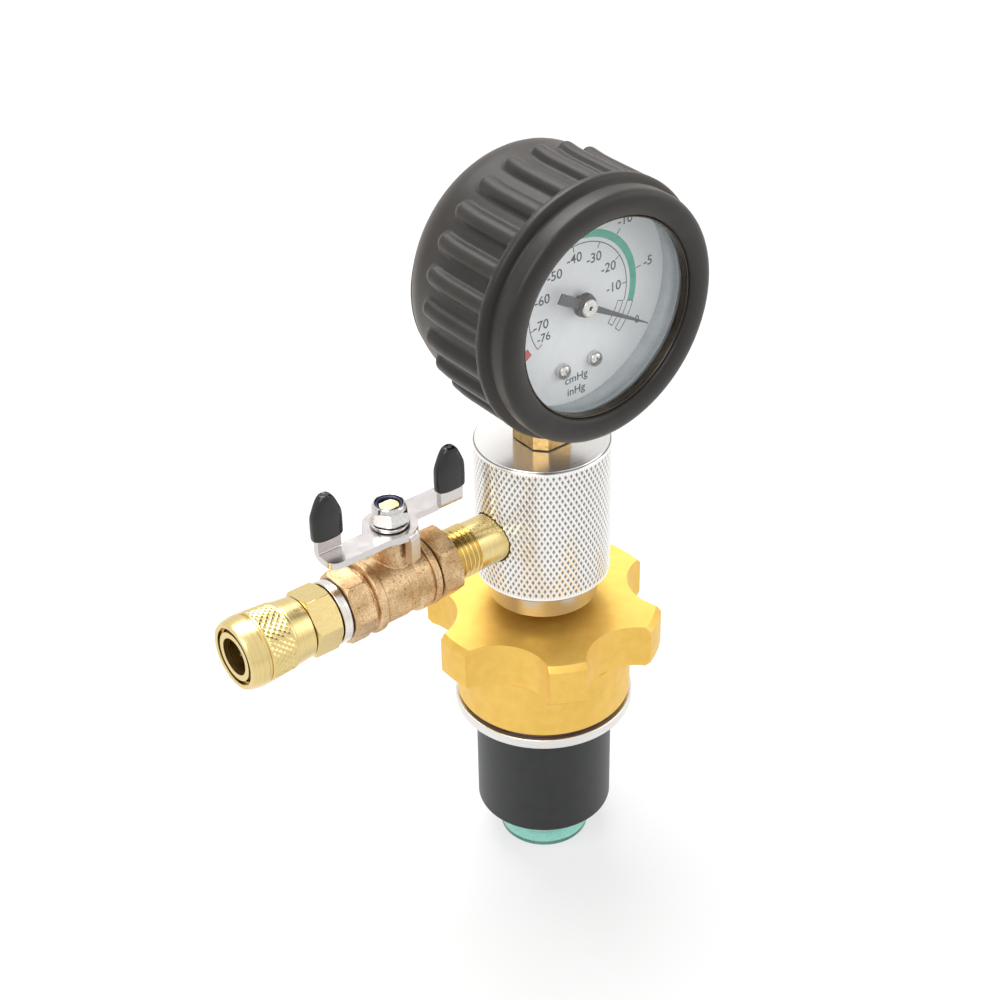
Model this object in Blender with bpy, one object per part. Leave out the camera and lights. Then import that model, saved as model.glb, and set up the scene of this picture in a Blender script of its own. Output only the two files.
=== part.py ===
"""Coolant vacuum filler: an expanding rubber cone with a star knob, a knurled body
with a dial gauge on top, and a small ball valve with a quick coupler at the side.

The tube axis is Z and the underside of the cone's flange is at z = 0. The valve runs
along -X and the gauge looks along -Y.
"""

import math

import bmesh
import bpy
from mathutils import Matrix, Vector

MM = 0.001

# Clearances that every fit shares
GAP = 0.3 * MM
OVERRUN = 1.0 * MM
WELD = 0.0001 * MM

# Share of a hexagon's inner radius that its turned corners leave flat at each end
HEX_FACE_SHARE = 0.96

# Facets round a full circle
FINE_SIDES = 36
ROUND_SIDES = 24
SMALL_SIDES = 16
PIN_SIDES = 10

# Cone below the flange
FLANGE_RADIUS = 23.9 * MM
FLANGE_THICKNESS = 2.9 * MM
FLANGE_EDGE = 0.4 * MM
SPINDLE_RADIUS = 6.0 * MM
SPINDLE_BORE = 3.5 * MM
CONE_RADIUS = 18.35 * MM
CONE_LENGTH = 33.9 * MM
CONE_SLACK = 0.7 * MM
CONE_EDGE = 0.5 * MM
LOWER_WASHER_RADIUS = 16.0 * MM
LOWER_WASHER_THICKNESS = 1.8 * MM
END_NUT_RADIUS = 8.8 * MM
END_NUT_LENGTH = 7.1 * MM
END_NUT_EDGE = 0.5 * MM
END_RING_RADIUS = 12.2 * MM
END_RING_THICKNESS = 1.25 * MM
END_RING_BORE = 2.4 * MM
END_RING_SPIGOT = 6.0 * MM

# Star knob
KNOB_LIFT = 1.1 * MM
KNOB_LOBES = 6
KNOB_RADIUS = 31.4 * MM
KNOB_TURN = math.radians(2.4)
LOBE_HEIGHT = 12.4 * MM
SCALLOP_RADIUS = 13.4 * MM
SCALLOP_OFFSET = 36.5 * MM
SCALLOP_STEPS = 8
TIP_STEPS = 2
KNOB_EDGE = 0.8 * MM
SKIRT_RADIUS = 23.3 * MM
SKIRT_HEIGHT = 16.2 * MM
SKIRT_EDGE = 0.5 * MM
KNOB_RECESS_RADIUS = 17.2 * MM
KNOB_RECESS_DEPTH = 1.3 * MM
THRUST_WASHER_SLACK = 1.0 * MM
THRUST_WASHER_INSET = 0.5 * MM

# Knurled body
NECK_GAP = 3.54 * MM
NECK_RADIUS = 14.39 * MM
NECK_HEIGHT = 7.06 * MM
NECK_EDGE = 0.4 * MM
BODY_RADIUS = 17.5 * MM
BODY_HEIGHT = 39.3 * MM
BODY_EDGE = 0.6 * MM
CHAMBER_RADIUS = 9.0 * MM
CHAMBER_FLOOR = 6.8 * MM
CHAMBER_HEIGHT = 20.0 * MM
VALVE_HEIGHT = 15.89 * MM
GAUGE_STEM_SHOWN = 15.4 * MM

# Threaded nipple and the valve's end piece, from the tube axis outwards
NIPPLE_INSET = 7.2 * MM
NIPPLE_RADIUS = 6.5 * MM
NIPPLE_BORE = 3.5 * MM
NIPPLE_PLAIN = 7.1 * MM
THREAD_RADIUS = 6.8 * MM
THREAD_DEPTH = 0.8 * MM
THREAD_PITCH = 1.34 * MM
THREAD_SHOWN = 7.3 * MM
END_HEX_FLATS = 17.0 * MM
END_HEX_LENGTH = 6.1 * MM
END_HEX_WALL = 1.4 * MM
END_HEX_TURN = math.radians(17)
END_SPIGOT_RADIUS = 6.2 * MM
END_SPIGOT_LENGTH = 3.0 * MM
VALVE_BORE = 4.0 * MM

# Valve body
VALVE_JOINT = 0.4 * MM
VALVE_RING_RADIUS = 8.8 * MM
VALVE_RING_LENGTH = 2.3 * MM
VALVE_RING_EDGE = 0.5 * MM
VALVE_GROOVE = 0.3 * MM
INNER_COLLAR_LENGTH = 3.6 * MM
BARREL_RADIUS = 8.3 * MM
BARREL_LENGTH = 10.4 * MM
COLLAR_TAPER = 0.6 * MM
OUTER_COLLAR_RADIUS = 9.3 * MM
OUTER_COLLAR_LENGTH = 2.4 * MM
VALVE_HEX_FLATS = 16.5 * MM
VALVE_HEX_LENGTH = 5.1 * MM
VALVE_HEX_TURN = math.radians(30)
BALL_SETBACK = 9.0 * MM
BALL_RADIUS = 5.5 * MM
BALL_STEPS = 10
BALL_BORE = 2.75 * MM
BALL_CAVITY_RADIUS = 6.5 * MM
BALL_CAVITY_END = 6.3 * MM
THROAT_RADIUS = 3.2 * MM
PORT_RADIUS = 6.9 * MM
PORT_WALL = 2.8 * MM
SEAT_DEPTH = 2.0 * MM
SEAT_LIP = 1.1 * MM
SEAT_LAND = 0.9 * MM
STEM_COLLAR_RADIUS = 4.45 * MM
STEM_COLLAR_HEIGHT = 15.5 * MM
STEM_FOOT_BORE = 3.6 * MM
STEM_FOOT_ROOF = 7.3 * MM
PACKING_FLOOR = 12.5 * MM

# Stem, packing and nut, from the valve axis upwards
STEM_RADIUS = 2.45 * MM
STEM_TOP = 23.0 * MM
STEM_FLATS = 3.8 * MM
STEM_FLATS_START = 14.0 * MM
STEM_FOOT_BOTTOM = 5.9 * MM
TANG_THICKNESS = 1.6 * MM
TANG_WIDTH = 5.0 * MM
TANG_BOTTOM = 4.3 * MM
HANDLE_THICKNESS = 1.8 * MM
WASHER_RADIUS = 4.9 * MM
WASHER_THICKNESS = 0.8 * MM
NUT_FLATS = 8.5 * MM
NUT_HEIGHT = 4.8 * MM
NUT_HEX_SHARE = 0.72
NUT_CROWN_RADIUS = 4.0 * MM
INSERT_RADIUS = 3.5 * MM
INSERT_HEIGHT = 1.2 * MM
INSERT_DEPTH = 0.3 * MM

# Butterfly handle
HANDLE_DISC_RADIUS = 6.9 * MM
ARM_REACH = 20.8 * MM
ARM_FRONT = 5.75 * MM
ARM_BACK = 0.8 * MM
ARM_CORNER = 2.5 * MM
WING_OFFSET = 1.0 * MM
WING_INSET = 0.1 * MM
WING_WIDTH = 6.6 * MM
WING_TOP = 31.5 * MM
BEND_RADIUS = 2.2 * MM
BEND_STEPS = 4
TAB_TURN = math.radians(-70)
TAB_REACH = 7.3 * MM
TAB_WIDTH = 3.6 * MM
TAB_ROOT = 4.0 * MM
TAB_BOTTOM = 9.1 * MM
GRIP_BOTTOM = 21.3 * MM
GRIP_TOP = 33.1 * MM
GRIP_WIDTH = 8.5 * MM
GRIP_THICKNESS = 3.8 * MM
GRIP_STEPS = 5
GRIP_TAPER_SHARE = 0.45
GRIP_NARROW_SHARE = 0.72

# Adapter and quick coupler
ADAPTER_JOINT = 1.0 * MM
GASKET_RADIUS = 7.9 * MM
GASKET_THICKNESS = 0.5 * MM
ADAPTER_RADIUS = 8.1 * MM
ADAPTER_THICKNESS = 2.5 * MM
ADAPTER_EDGE = 0.3 * MM
ADAPTER_PLUG_LENGTH = 5.7 * MM
ADAPTER_NOSE_RADIUS = 6.0 * MM
ADAPTER_NOSE_LENGTH = 6.3 * MM
ADAPTER_BORE = 3.0 * MM
COUPLER_HEX_FLATS = 15.0 * MM
COUPLER_HEX_LENGTH = 7.3 * MM
COUPLER_HEX_TURN = math.radians(40)
COUPLER_WALL = 1.0 * MM
COUPLER_SHANK_RADIUS = 6.6 * MM
COUPLER_SHANK_LENGTH = 4.5 * MM
COUPLER_TUBE_RADIUS = 6.2 * MM
COUPLER_LENGTH = 25.9 * MM
SOCKET_RADIUS = 4.75 * MM
SOCKET_DEPTH = 13.4 * MM
SEAL_GROOVE_RADIUS = 5.6 * MM
SEAL_GROOVE_LENGTH = 2.0 * MM
SEAL_SETBACK = 9.4 * MM
SEAL_BITE = 0.45 * MM
SPRING_COLLAR_RADIUS = 6.65 * MM
SPRING_COLLAR_LENGTH = 0.8 * MM
SPRING_COLLAR_SETBACK = 5.6 * MM
LOCK_BALL_RADIUS = 1.0 * MM
LOCK_BALL_CIRCLE = 5.6 * MM
LOCK_BALL_SETBACK = 3.9 * MM
LOCK_BALL_SLACK = 0.25 * MM
LOCK_BALLS = 4
LOCK_BALL_SIDES = 8
LOCK_BALL_STEPS = 4

# Coupler sleeve, from its rear end outwards
SLEEVE_REAR_RADIUS = 7.75 * MM
SLEEVE_SMOOTH_RADIUS = 8.35 * MM
SLEEVE_SMOOTH_LENGTH = 5.4 * MM
SLEEVE_KNURL_START_RADIUS = 8.5 * MM
SLEEVE_KNURL_END_RADIUS = 9.0 * MM
SLEEVE_KNURL_LENGTH = 7.7 * MM
SLEEVE_GROOVE_RADIUS = 8.6 * MM
SLEEVE_GROOVE_LENGTH = 0.9 * MM
SLEEVE_NOSE_RADIUS = 9.1 * MM
SLEEVE_NOSE_LENGTH = 4.5 * MM
SLEEVE_MOUTH_RADIUS = 8.3 * MM
SLEEVE_CAVITY_START = 5.0 * MM
SLEEVE_CAVITY_RADIUS = 7.4 * MM
SLEEVE_LAND_RADIUS = 6.95 * MM
SLEEVE_LAND_LENGTH = 3.3 * MM
SLEEVE_MOUTH_BORE = 7.2 * MM
SLEEVE_STROKE = 2.5 * MM
SPRING_WIRE_RADIUS = 0.35 * MM
SPRING_RADIUS = 6.8 * MM
SPRING_LENGTH = 3.3 * MM
SPRING_TURNS = 2.5
SPRING_STEPS = 12
WIRE_SIDES = 5

# Gauge stem and the block that it ends in
SOCKET_SPIGOT_RADIUS = 6.0 * MM
SOCKET_BORE = 2.0 * MM
STEM_SQUARE = 14.0 * MM
STEM_CHAMFER = 3.0 * MM
BLOCK_WIDTH = 16.0 * MM
BLOCK_STANDOFF = 2.8 * MM
BLOCK_DROP = 14.0 * MM
BLOCK_FRONT = 12.9 * MM
BLOCK_BACK = 5.0 * MM
BLOCK_OVERLAP = 2.0 * MM

# Gauge case, lens and dial, from the gauge centre towards the reader
CASE_RADIUS = 28.3 * MM
CASE_WALL = 0.9 * MM
CASE_BACK = 13.4 * MM
CASE_FRONT = 19.0 * MM
BEZEL_FRONT = 23.2 * MM
BEZEL_LAND = 3.5 * MM
BEZEL_WALL = 0.8 * MM
LENS_THICKNESS = 1.1 * MM
INNER_RING_WALL = 2.2 * MM
DIAL_THICKNESS = 0.8 * MM
DIAL_HOLE = 1.6 * MM
DIAL_SCREW_SPREAD = 4.9 * MM
DIAL_SCREW_DROP = 16.5 * MM
DIAL_SCREW_HEAD = 1.9 * MM
DIAL_SCREW_HEAD_HEIGHT = 1.0 * MM
DIAL_SCREW_SHANK = 0.8 * MM
DIAL_SCREW_LENGTH = 5.3 * MM

# Rubber boot round the gauge
BOOT_WALL = 2.9 * MM
BOOT_BACK = 17.0 * MM
BOOT_BACK_INSET = 7.0 * MM
BOOT_SHOULDER_DEPTH = 8.0 * MM
BOOT_SHOULDER_STEPS = 3
BOOT_BACK_LAND = 9.3 * MM
BOOT_RIBS = 24
BOOT_RIB_TURN = math.radians(-3.5)
BOOT_RIB_HEIGHT = 2.0 * MM
BOOT_RIB_FOOT_SHARE = 0.29
BOOT_RIB_CREST_SHARE = 0.14
BOOT_RIB_REAR = 5.2 * MM
BOOT_RIB_RUN = 2.5 * MM
BOOT_RIB_FRONT = 13.6 * MM
BOOT_RIB_STEPS = 2
BOOT_RING_STEP = 2.2 * MM
BOOT_RING_START = 14.4 * MM
BOOT_RING_END = 17.9 * MM
BOOT_GROOVE_STEP = 0.3 * MM
BOOT_GROOVE_PLACE = 19.8 * MM
BOOT_LIP_STEP = 0.4 * MM
BOOT_LIP_START = 21.4 * MM
BOOT_LIP_END = 24.4 * MM
BOOT_FRONT = 25.9 * MM
BOOT_FRONT_STEP = 2.1 * MM
BOOT_OPENING_STEP = 0.2 * MM
BOOT_OPENING_FLARE = 1.6 * MM
BOOT_OPENING_DEPTH = 0.9 * MM
BOOT_STEM_HOLE = 8.5 * MM

# Gauge movement
TUBE_INSET = 8.8 * MM
TUBE_THICKNESS = 2.2 * MM
TUBE_DEPTH = 8.0 * MM
TUBE_END = math.radians(195)
TUBE_STEPS = 16
PLATE_WIDTH = 15.0 * MM
PLATE_THICKNESS = 1.0 * MM
PLATE_TOP = 7.0 * MM
PLATE_SPACING = 11.6 * MM
BACK_PLATE_FOOT = 5.0 * MM
PILLAR_RADIUS = 1.2 * MM
PILLAR_SPREAD = 5.5 * MM
PILLAR_RISE = 4.0 * MM
ARBOR_RADIUS = 0.6 * MM
ARBOR_TAIL = 0.7 * MM
PINION_PITCH = 1.6 * MM
PINION_LENGTH = 4.0 * MM
SECTOR_PITCH = 7.4 * MM
SECTOR_THICKNESS = 1.2 * MM
SECTOR_START = math.radians(86)
SECTOR_SWEEP = math.radians(62)
SECTOR_STEPS = 10
SECTOR_TAIL = 7.0 * MM
SECTOR_TAIL_TURN = math.radians(184)
SECTOR_ARM = 1.6 * MM
AXLE_RADIUS = 0.7 * MM
LINK_RADIUS = 0.9 * MM
LINK_THICKNESS = 0.8 * MM
POINTER_LIFT = 2.1 * MM
POINTER_THICKNESS = 0.6 * MM
POINTER_CLEARANCE = 2.6 * MM
POINTER_TAIL = 9.5 * MM
POINTER_TAIL_WIDTH = 3.0 * MM
POINTER_WAIST_WIDTH = 1.9 * MM
POINTER_TIP_WIDTH = 0.3 * MM
POINTER_ZERO = math.radians(-31.5)
HUB_RADIUS = 2.7 * MM
HUB_HEIGHT = 0.9 * MM
CAP_RADIUS = 2.3 * MM
CAP_HEIGHT = 0.7 * MM
CAP_HOLE = 0.5 * MM

# Places that follow from the sizes above, along the tube axis
KNOB_BOTTOM = FLANGE_THICKNESS + KNOB_LIFT
KNOB_MIDDLE = KNOB_BOTTOM + SKIRT_HEIGHT
KNOB_TOP = KNOB_MIDDLE + LOBE_HEIGHT
NECK_BOTTOM = KNOB_TOP + NECK_GAP
BODY_BOTTOM = NECK_BOTTOM + NECK_HEIGHT
BODY_TOP = BODY_BOTTOM + BODY_HEIGHT
CHAMBER_BOTTOM = BODY_BOTTOM + CHAMBER_FLOOR
CHAMBER_TOP = CHAMBER_BOTTOM + CHAMBER_HEIGHT
VALVE_Z = BODY_BOTTOM + VALVE_HEIGHT
GAUGE_Z = BODY_TOP + GAUGE_STEM_SHOWN + CASE_RADIUS
CONE_TOP = -GAP
CONE_BOTTOM = CONE_TOP - CONE_LENGTH
LOWER_WASHER_TOP = CONE_BOTTOM - GAP
END_NUT_TOP = LOWER_WASHER_TOP - LOWER_WASHER_THICKNESS - GAP
END_NUT_BOTTOM = END_NUT_TOP - END_NUT_LENGTH
END_RING_TOP = END_NUT_BOTTOM - GAP
SPINDLE_HOLE = SPINDLE_RADIUS + GAP

# Places along the valve, measured from the tube axis
NIPPLE_START = BODY_RADIUS - NIPPLE_INSET
THREAD_START = BODY_RADIUS + NIPPLE_PLAIN
END_HEX_START = THREAD_START + THREAD_SHOWN
END_HEX_END = END_HEX_START + END_HEX_LENGTH
VALVE_START = END_HEX_END + VALVE_JOINT
VALVE_RING_END = VALVE_START + VALVE_RING_LENGTH
INNER_COLLAR_START = VALVE_RING_END + VALVE_GROOVE
INNER_COLLAR_END = INNER_COLLAR_START + INNER_COLLAR_LENGTH
BARREL_START = INNER_COLLAR_END + COLLAR_TAPER
BARREL_END = BARREL_START + BARREL_LENGTH
OUTER_COLLAR_START = BARREL_END + COLLAR_TAPER
VALVE_HEX_START = OUTER_COLLAR_START + OUTER_COLLAR_LENGTH
VALVE_END = VALVE_HEX_START + VALVE_HEX_LENGTH
BALL_U = VALVE_START + BALL_SETBACK
ADAPTER_START = VALVE_END + ADAPTER_JOINT
ADAPTER_END = ADAPTER_START + ADAPTER_THICKNESS
COUPLER_START = ADAPTER_END + GAP
COUPLER_HEX_END = COUPLER_START + COUPLER_HEX_LENGTH
COUPLER_END = COUPLER_START + COUPLER_LENGTH
SLEEVE_START = COUPLER_HEX_END + GAP

# Radii in the gauge and its boot, which all follow the case's
LENS_RADIUS = CASE_RADIUS - BEZEL_WALL - GAP
BEZEL_OPENING = CASE_RADIUS - BEZEL_LAND
INNER_RING_RADIUS = CASE_RADIUS - CASE_WALL - GAP
INNER_RING_OPENING = INNER_RING_RADIUS - INNER_RING_WALL
DIAL_RADIUS = INNER_RING_RADIUS - GAP
POINTER_REACH = INNER_RING_OPENING - POINTER_CLEARANCE
TUBE_CIRCLE = CASE_RADIUS - TUBE_INSET
BLOCK_END = CASE_RADIUS - BLOCK_STANDOFF
BOOT_RADIUS = CASE_RADIUS + BOOT_WALL
BOOT_RING_RADIUS = BOOT_RADIUS + BOOT_RING_STEP
BOOT_GROOVE_RADIUS = BOOT_RADIUS - BOOT_GROOVE_STEP
BOOT_LIP_RADIUS = BOOT_RADIUS + BOOT_LIP_STEP
BOOT_FRONT_RADIUS = BOOT_LIP_RADIUS - BOOT_FRONT_STEP
BOOT_OPENING = BEZEL_OPENING + BOOT_OPENING_STEP
BOOT_INNER_EDGE = BOOT_OPENING + BOOT_OPENING_FLARE
BOOT_BACK_RADIUS = BOOT_RADIUS - BOOT_BACK_INSET
BOOT_BACK_HOLE = CASE_RADIUS - BOOT_BACK_LAND

# Ends of the handle's wings, which follow its arms
WING_END = ARM_REACH - WING_INSET
WING_START = WING_END - WING_WIDTH

# Places in the gauge, measured from its centre towards the reader
DIAL_BACK = BLOCK_FRONT + GAP
DIAL_FACE = DIAL_BACK + DIAL_THICKNESS
LENS_FRONT = BEZEL_FRONT - BEZEL_WALL - GAP
LENS_BACK = LENS_FRONT - LENS_THICKNESS
BACK_PLATE_FRONT = -BLOCK_BACK - GAP
FRONT_PLATE_BACK = BACK_PLATE_FRONT + PLATE_SPACING
POINTER_BACK = DIAL_FACE + POINTER_LIFT
SECTOR_DROP = SECTOR_PITCH + PINION_PITCH


def frame_at(origin, x_axis, y_axis):
    """A frame with its origin and two of its axes; the third follows the right hand."""
    x_axis, y_axis = Vector(x_axis), Vector(y_axis)
    rows = Matrix((x_axis, y_axis, x_axis.cross(y_axis)))
    frame = rows.transposed().to_4x4()
    frame.translation = origin
    return frame


TUBE = Matrix.Identity(4)
PIPE = frame_at((0, 0, VALVE_Z), (0, -1, 0), (0, 0, 1))
STEM = frame_at((-BALL_U, 0, VALVE_Z), (1, 0, 0), (0, 1, 0))
GAUGE = frame_at((0, 0, GAUGE_Z), (1, 0, 0), (0, 0, 1))
SECTOR = frame_at((0, 0, GAUGE_Z - SECTOR_DROP), (1, 0, 0), (0, 0, 1))


def add_object(name, bm, frame):
    """Make an object of a finished shape, with its faces turned outwards."""
    bmesh.ops.remove_doubles(bm, verts=bm.verts, dist=WELD)
    bmesh.ops.recalc_face_normals(bm, faces=bm.faces)
    mesh = bpy.data.meshes.new(name)
    bm.to_mesh(mesh)
    bm.free()
    obj = bpy.data.objects.new(name, mesh)
    bpy.context.scene.collection.objects.link(obj)
    obj.matrix_world = frame
    return obj


def loft(name, rings, frame):
    """Join each ring of points to the next, and the last one to the first."""
    bm = bmesh.new()
    rows = [[bm.verts.new(point) for point in ring] for ring in rings]
    for row, after in zip(rows, rows[1:] + rows[:1]):
        count = max(len(row), len(after))
        for i in range(count):
            j = (i + 1) % count
            corners = [
                row[i % len(row)],
                row[j % len(row)],
                after[j % len(after)],
                after[i % len(after)],
            ]
            corners = list(dict.fromkeys(corners))
            if len(corners) > 2:
                bm.faces.new(corners)
    return add_object(name, bm, frame)


def lathe(name, profile, frame, sides=ROUND_SIDES):
    """Turn a closed outline of (radius, height) points about the frame's Z axis."""
    angles = [math.tau * k / sides for k in range(sides)]
    rings = []
    for radius, height in profile:
        if radius == 0:
            rings.append([(0, 0, height)])
        else:
            rings.append(
                [(radius * math.cos(a), radius * math.sin(a), height) for a in angles]
            )
    return loft(name, rings, frame)


def rod(name, radius, bottom, top, frame, sides=ROUND_SIDES):
    """A plain round bar along the frame's Z axis."""
    profile = [(0, bottom), (radius, bottom), (radius, top), (0, top)]
    return lathe(name, profile, frame, sides)


def prism(name, outline, bottom, top, frame):
    """Extrude a flat outline along the frame's Z axis."""
    bm = bmesh.new()
    lower = [bm.verts.new((x, y, bottom)) for x, y in outline]
    upper = [bm.verts.new((x, y, top)) for x, y in outline]
    bm.faces.new(lower)
    bm.faces.new(upper)
    for i in range(len(outline)):
        j = (i + 1) % len(outline)
        bm.faces.new((lower[i], lower[j], upper[j], upper[i]))
    return add_object(name, bm, frame)


def box(name, x_ends, y_ends, z_ends, frame):
    """A block between two ends on each axis."""
    outline = [(x_ends[0], y_ends[0]), (x_ends[1], y_ends[0])]
    outline += [(x_ends[1], y_ends[1]), (x_ends[0], y_ends[1])]
    return prism(name, outline, z_ends[0], z_ends[1], frame)


def arc(centre, radius, start, end, steps):
    """Points along a circular arc, both ends included."""
    points = []
    for k in range(steps + 1):
        angle = start + (end - start) * k / steps
        points.append(
            (
                centre[0] + radius * math.cos(angle),
                centre[1] + radius * math.sin(angle),
            )
        )
    return points


def triangulate(obj):
    """Split every face into triangles, which are flat whatever rounding did."""
    bm = bmesh.new()
    bm.from_mesh(obj.data)
    bmesh.ops.triangulate(bm, faces=bm.faces)
    bm.to_mesh(obj.data)
    bm.free()


def combine(target, other, operation):
    """Cut, join or intersect the target with another object, which is used up."""
    triangulate(target)
    triangulate(other)
    bpy.context.view_layer.update()
    modifier = target.modifiers.new(operation.title(), "BOOLEAN")
    modifier.operation = operation
    modifier.solver = "EXACT"
    modifier.object = other
    graph = bpy.context.evaluated_depsgraph_get()
    mesh = bpy.data.meshes.new_from_object(target.evaluated_get(graph))
    mesh.name = target.name
    target.modifiers.clear()
    old = target.data
    target.data = mesh
    bpy.data.meshes.remove(old)
    bpy.data.objects.remove(other, do_unlink=True)
    return target


def cut(target, *cutters):
    """Remove each cutter's volume from the target."""
    for cutter in cutters:
        combine(target, cutter, "DIFFERENCE")
    return target


def join(target, *others):
    """Fuse other shapes with the target."""
    for other in others:
        combine(target, other, "UNION")
    return target


def hex_bar(name, flats, bottom, top, turn, frame):
    """A hexagonal bar whose six corners are turned down at both ends."""
    flat_radius = flats / 2
    corner_radius = flat_radius / math.cos(math.pi / 6)
    outline = arc((0, 0), corner_radius, turn, turn + math.tau, 6)[:-1]
    bar = prism(name, outline, bottom, top, frame)
    face = flat_radius * HEX_FACE_SHARE
    reach = corner_radius + OVERRUN
    drop = (reach - face) * math.tan(math.pi / 6)
    profile = [
        (0, bottom),
        (face, bottom),
        (reach, bottom + drop),
        (reach, top - drop),
        (face, top),
        (0, top),
    ]
    return combine(bar, lathe("turned corners", profile, frame), "INTERSECT")


def finish(obj, colour, metallic, roughness):
    """Give the object its own material and smooth shading with crisp edges."""
    material = bpy.data.materials.new(obj.name)
    material.use_nodes = True
    shader = material.node_tree.nodes["Principled BSDF"]
    shader.inputs["Base Color"].default_value = (*colour, 1)
    shader.inputs["Metallic"].default_value = metallic
    shader.inputs["Roughness"].default_value = roughness
    obj.data.materials.clear()
    obj.data.materials.append(material)
    obj.data.shade_smooth()
    obj.data.set_sharp_from_angle(angle=math.radians(32))
    return obj


def steel(obj):
    """Bright plated steel or nickel."""
    return finish(obj, (0.62, 0.61, 0.59), 1, 0.3)


def aluminium(obj):
    """Bare turned aluminium."""
    return finish(obj, (0.78, 0.77, 0.76), 1, 0.35)


def gold_anodised(obj):
    """Aluminium anodised gold."""
    return finish(obj, (0.78, 0.49, 0.12), 1, 0.4)


def brass(obj):
    """Plain brass."""
    return finish(obj, (0.70, 0.52, 0.20), 1, 0.3)


def bronze(obj):
    """Brown forged brass as it comes from the tumbler."""
    return finish(obj, (0.48, 0.31, 0.17), 1, 0.45)


def rubber(obj):
    """Black rubber."""
    return finish(obj, (0.02, 0.02, 0.02), 0, 0.7)


def plastic(obj, colour, roughness=0.4):
    """Moulded plastic of the given colour."""
    return finish(obj, colour, 0, roughness)


def make_cone():
    """The rubber sleeve that swells in the filler neck, and what it is squeezed on."""
    inner = SPINDLE_RADIUS + CONE_SLACK
    edge = CONE_RADIUS - CONE_EDGE
    profile = [
        (inner, CONE_BOTTOM),
        (edge, CONE_BOTTOM),
        (CONE_RADIUS, CONE_BOTTOM + CONE_EDGE),
        (CONE_RADIUS, CONE_TOP - CONE_EDGE),
        (edge, CONE_TOP),
        (inner, CONE_TOP),
    ]
    rubber(lathe("rubber_sleeve", profile, TUBE, FINE_SIDES))
    bottom = LOWER_WASHER_TOP - LOWER_WASHER_THICKNESS
    profile = [
        (SPINDLE_HOLE, bottom),
        (LOWER_WASHER_RADIUS, bottom),
        (LOWER_WASHER_RADIUS, LOWER_WASHER_TOP),
        (SPINDLE_HOLE, LOWER_WASHER_TOP),
    ]
    aluminium(lathe("lower_washer", profile, TUBE, FINE_SIDES))
    edge = END_NUT_RADIUS - END_NUT_EDGE
    profile = [
        (SPINDLE_HOLE, END_NUT_BOTTOM),
        (edge, END_NUT_BOTTOM),
        (END_NUT_RADIUS, END_NUT_BOTTOM + END_NUT_EDGE),
        (END_NUT_RADIUS, END_NUT_TOP),
        (SPINDLE_HOLE, END_NUT_TOP),
    ]
    aluminium(lathe("end_nut", profile, TUBE))


def make_end_ring():
    """The clear plastic ring at the bottom, held by its spigot in the spindle's bore."""
    spigot = SPINDLE_BORE - GAP
    bottom = END_RING_TOP - END_RING_THICKNESS
    top = END_RING_TOP + END_RING_SPIGOT
    profile = [
        (END_RING_BORE, bottom),
        (END_RING_RADIUS, bottom),
        (END_RING_RADIUS, END_RING_TOP),
        (spigot, END_RING_TOP),
        (spigot, top),
        (END_RING_BORE, top),
    ]
    plastic(lathe("end_ring", profile, TUBE), (0.10, 0.42, 0.36), 0.2)


def make_spindle():
    """The hollow spindle from the end nut up into the body's chamber."""
    bottom = END_NUT_BOTTOM + GAP
    top = CHAMBER_BOTTOM - GAP
    profile = [
        (SPINDLE_BORE, bottom),
        (SPINDLE_RADIUS, bottom),
        (SPINDLE_RADIUS, top),
        (SPINDLE_BORE, top),
    ]
    brass(lathe("spindle_tube", profile, TUBE))


def make_flange():
    """The round flange that presses on the rubber, and the thrust washer above it."""
    edge = FLANGE_RADIUS - FLANGE_EDGE
    profile = [
        (SPINDLE_HOLE, 0),
        (CONE_RADIUS + GAP, 0),
        (edge, 0),
        (FLANGE_RADIUS, FLANGE_EDGE),
        (FLANGE_RADIUS, FLANGE_THICKNESS - FLANGE_EDGE),
        (edge, FLANGE_THICKNESS),
        (SPINDLE_HOLE, FLANGE_THICKNESS),
    ]
    aluminium(lathe("compression_flange", profile, TUBE, FINE_SIDES))
    inner = SPINDLE_RADIUS + THRUST_WASHER_SLACK
    outer = SKIRT_RADIUS - SKIRT_EDGE - THRUST_WASHER_INSET
    boss = KNOB_RECESS_RADIUS - GAP
    bottom = FLANGE_THICKNESS + GAP
    rim = KNOB_BOTTOM - GAP
    top = KNOB_BOTTOM + KNOB_RECESS_DEPTH - GAP
    profile = [
        (inner, bottom),
        (outer, bottom),
        (outer, rim),
        (boss, rim),
        (boss, top),
        (inner, top),
    ]
    plastic(lathe("thrust_washer", profile, TUBE, FINE_SIDES), (0.05, 0.03, 0.02))


def star_outline():
    """Polar points (angle, radius) once round the knob: short tips between scallops."""
    pitch = math.tau / KNOB_LOBES
    meeting = SCALLOP_OFFSET**2 + SCALLOP_RADIUS**2 - KNOB_RADIUS**2
    reach = math.acos(meeting / (2 * SCALLOP_OFFSET * SCALLOP_RADIUS))
    scallop = []
    for k in range(SCALLOP_STEPS + 1):
        turn = reach * (2 * k / SCALLOP_STEPS - 1)
        across = SCALLOP_OFFSET - SCALLOP_RADIUS * math.cos(turn)
        along = SCALLOP_RADIUS * math.sin(turn)
        radius = max(math.hypot(across, along), SKIRT_RADIUS)
        scallop.append((math.atan2(along, across), radius))
    half_tip = pitch / 2 - scallop[-1][0]
    points = []
    for lobe in range(KNOB_LOBES):
        tip = KNOB_TURN + lobe * pitch
        for k in range(1, TIP_STEPS + 1):
            turn = half_tip * (2 * k / (TIP_STEPS + 1) - 1)
            points.append((tip + turn, KNOB_RADIUS))
        points += [(tip + pitch / 2 + turn, radius) for turn, radius in scallop]
    return points


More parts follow.
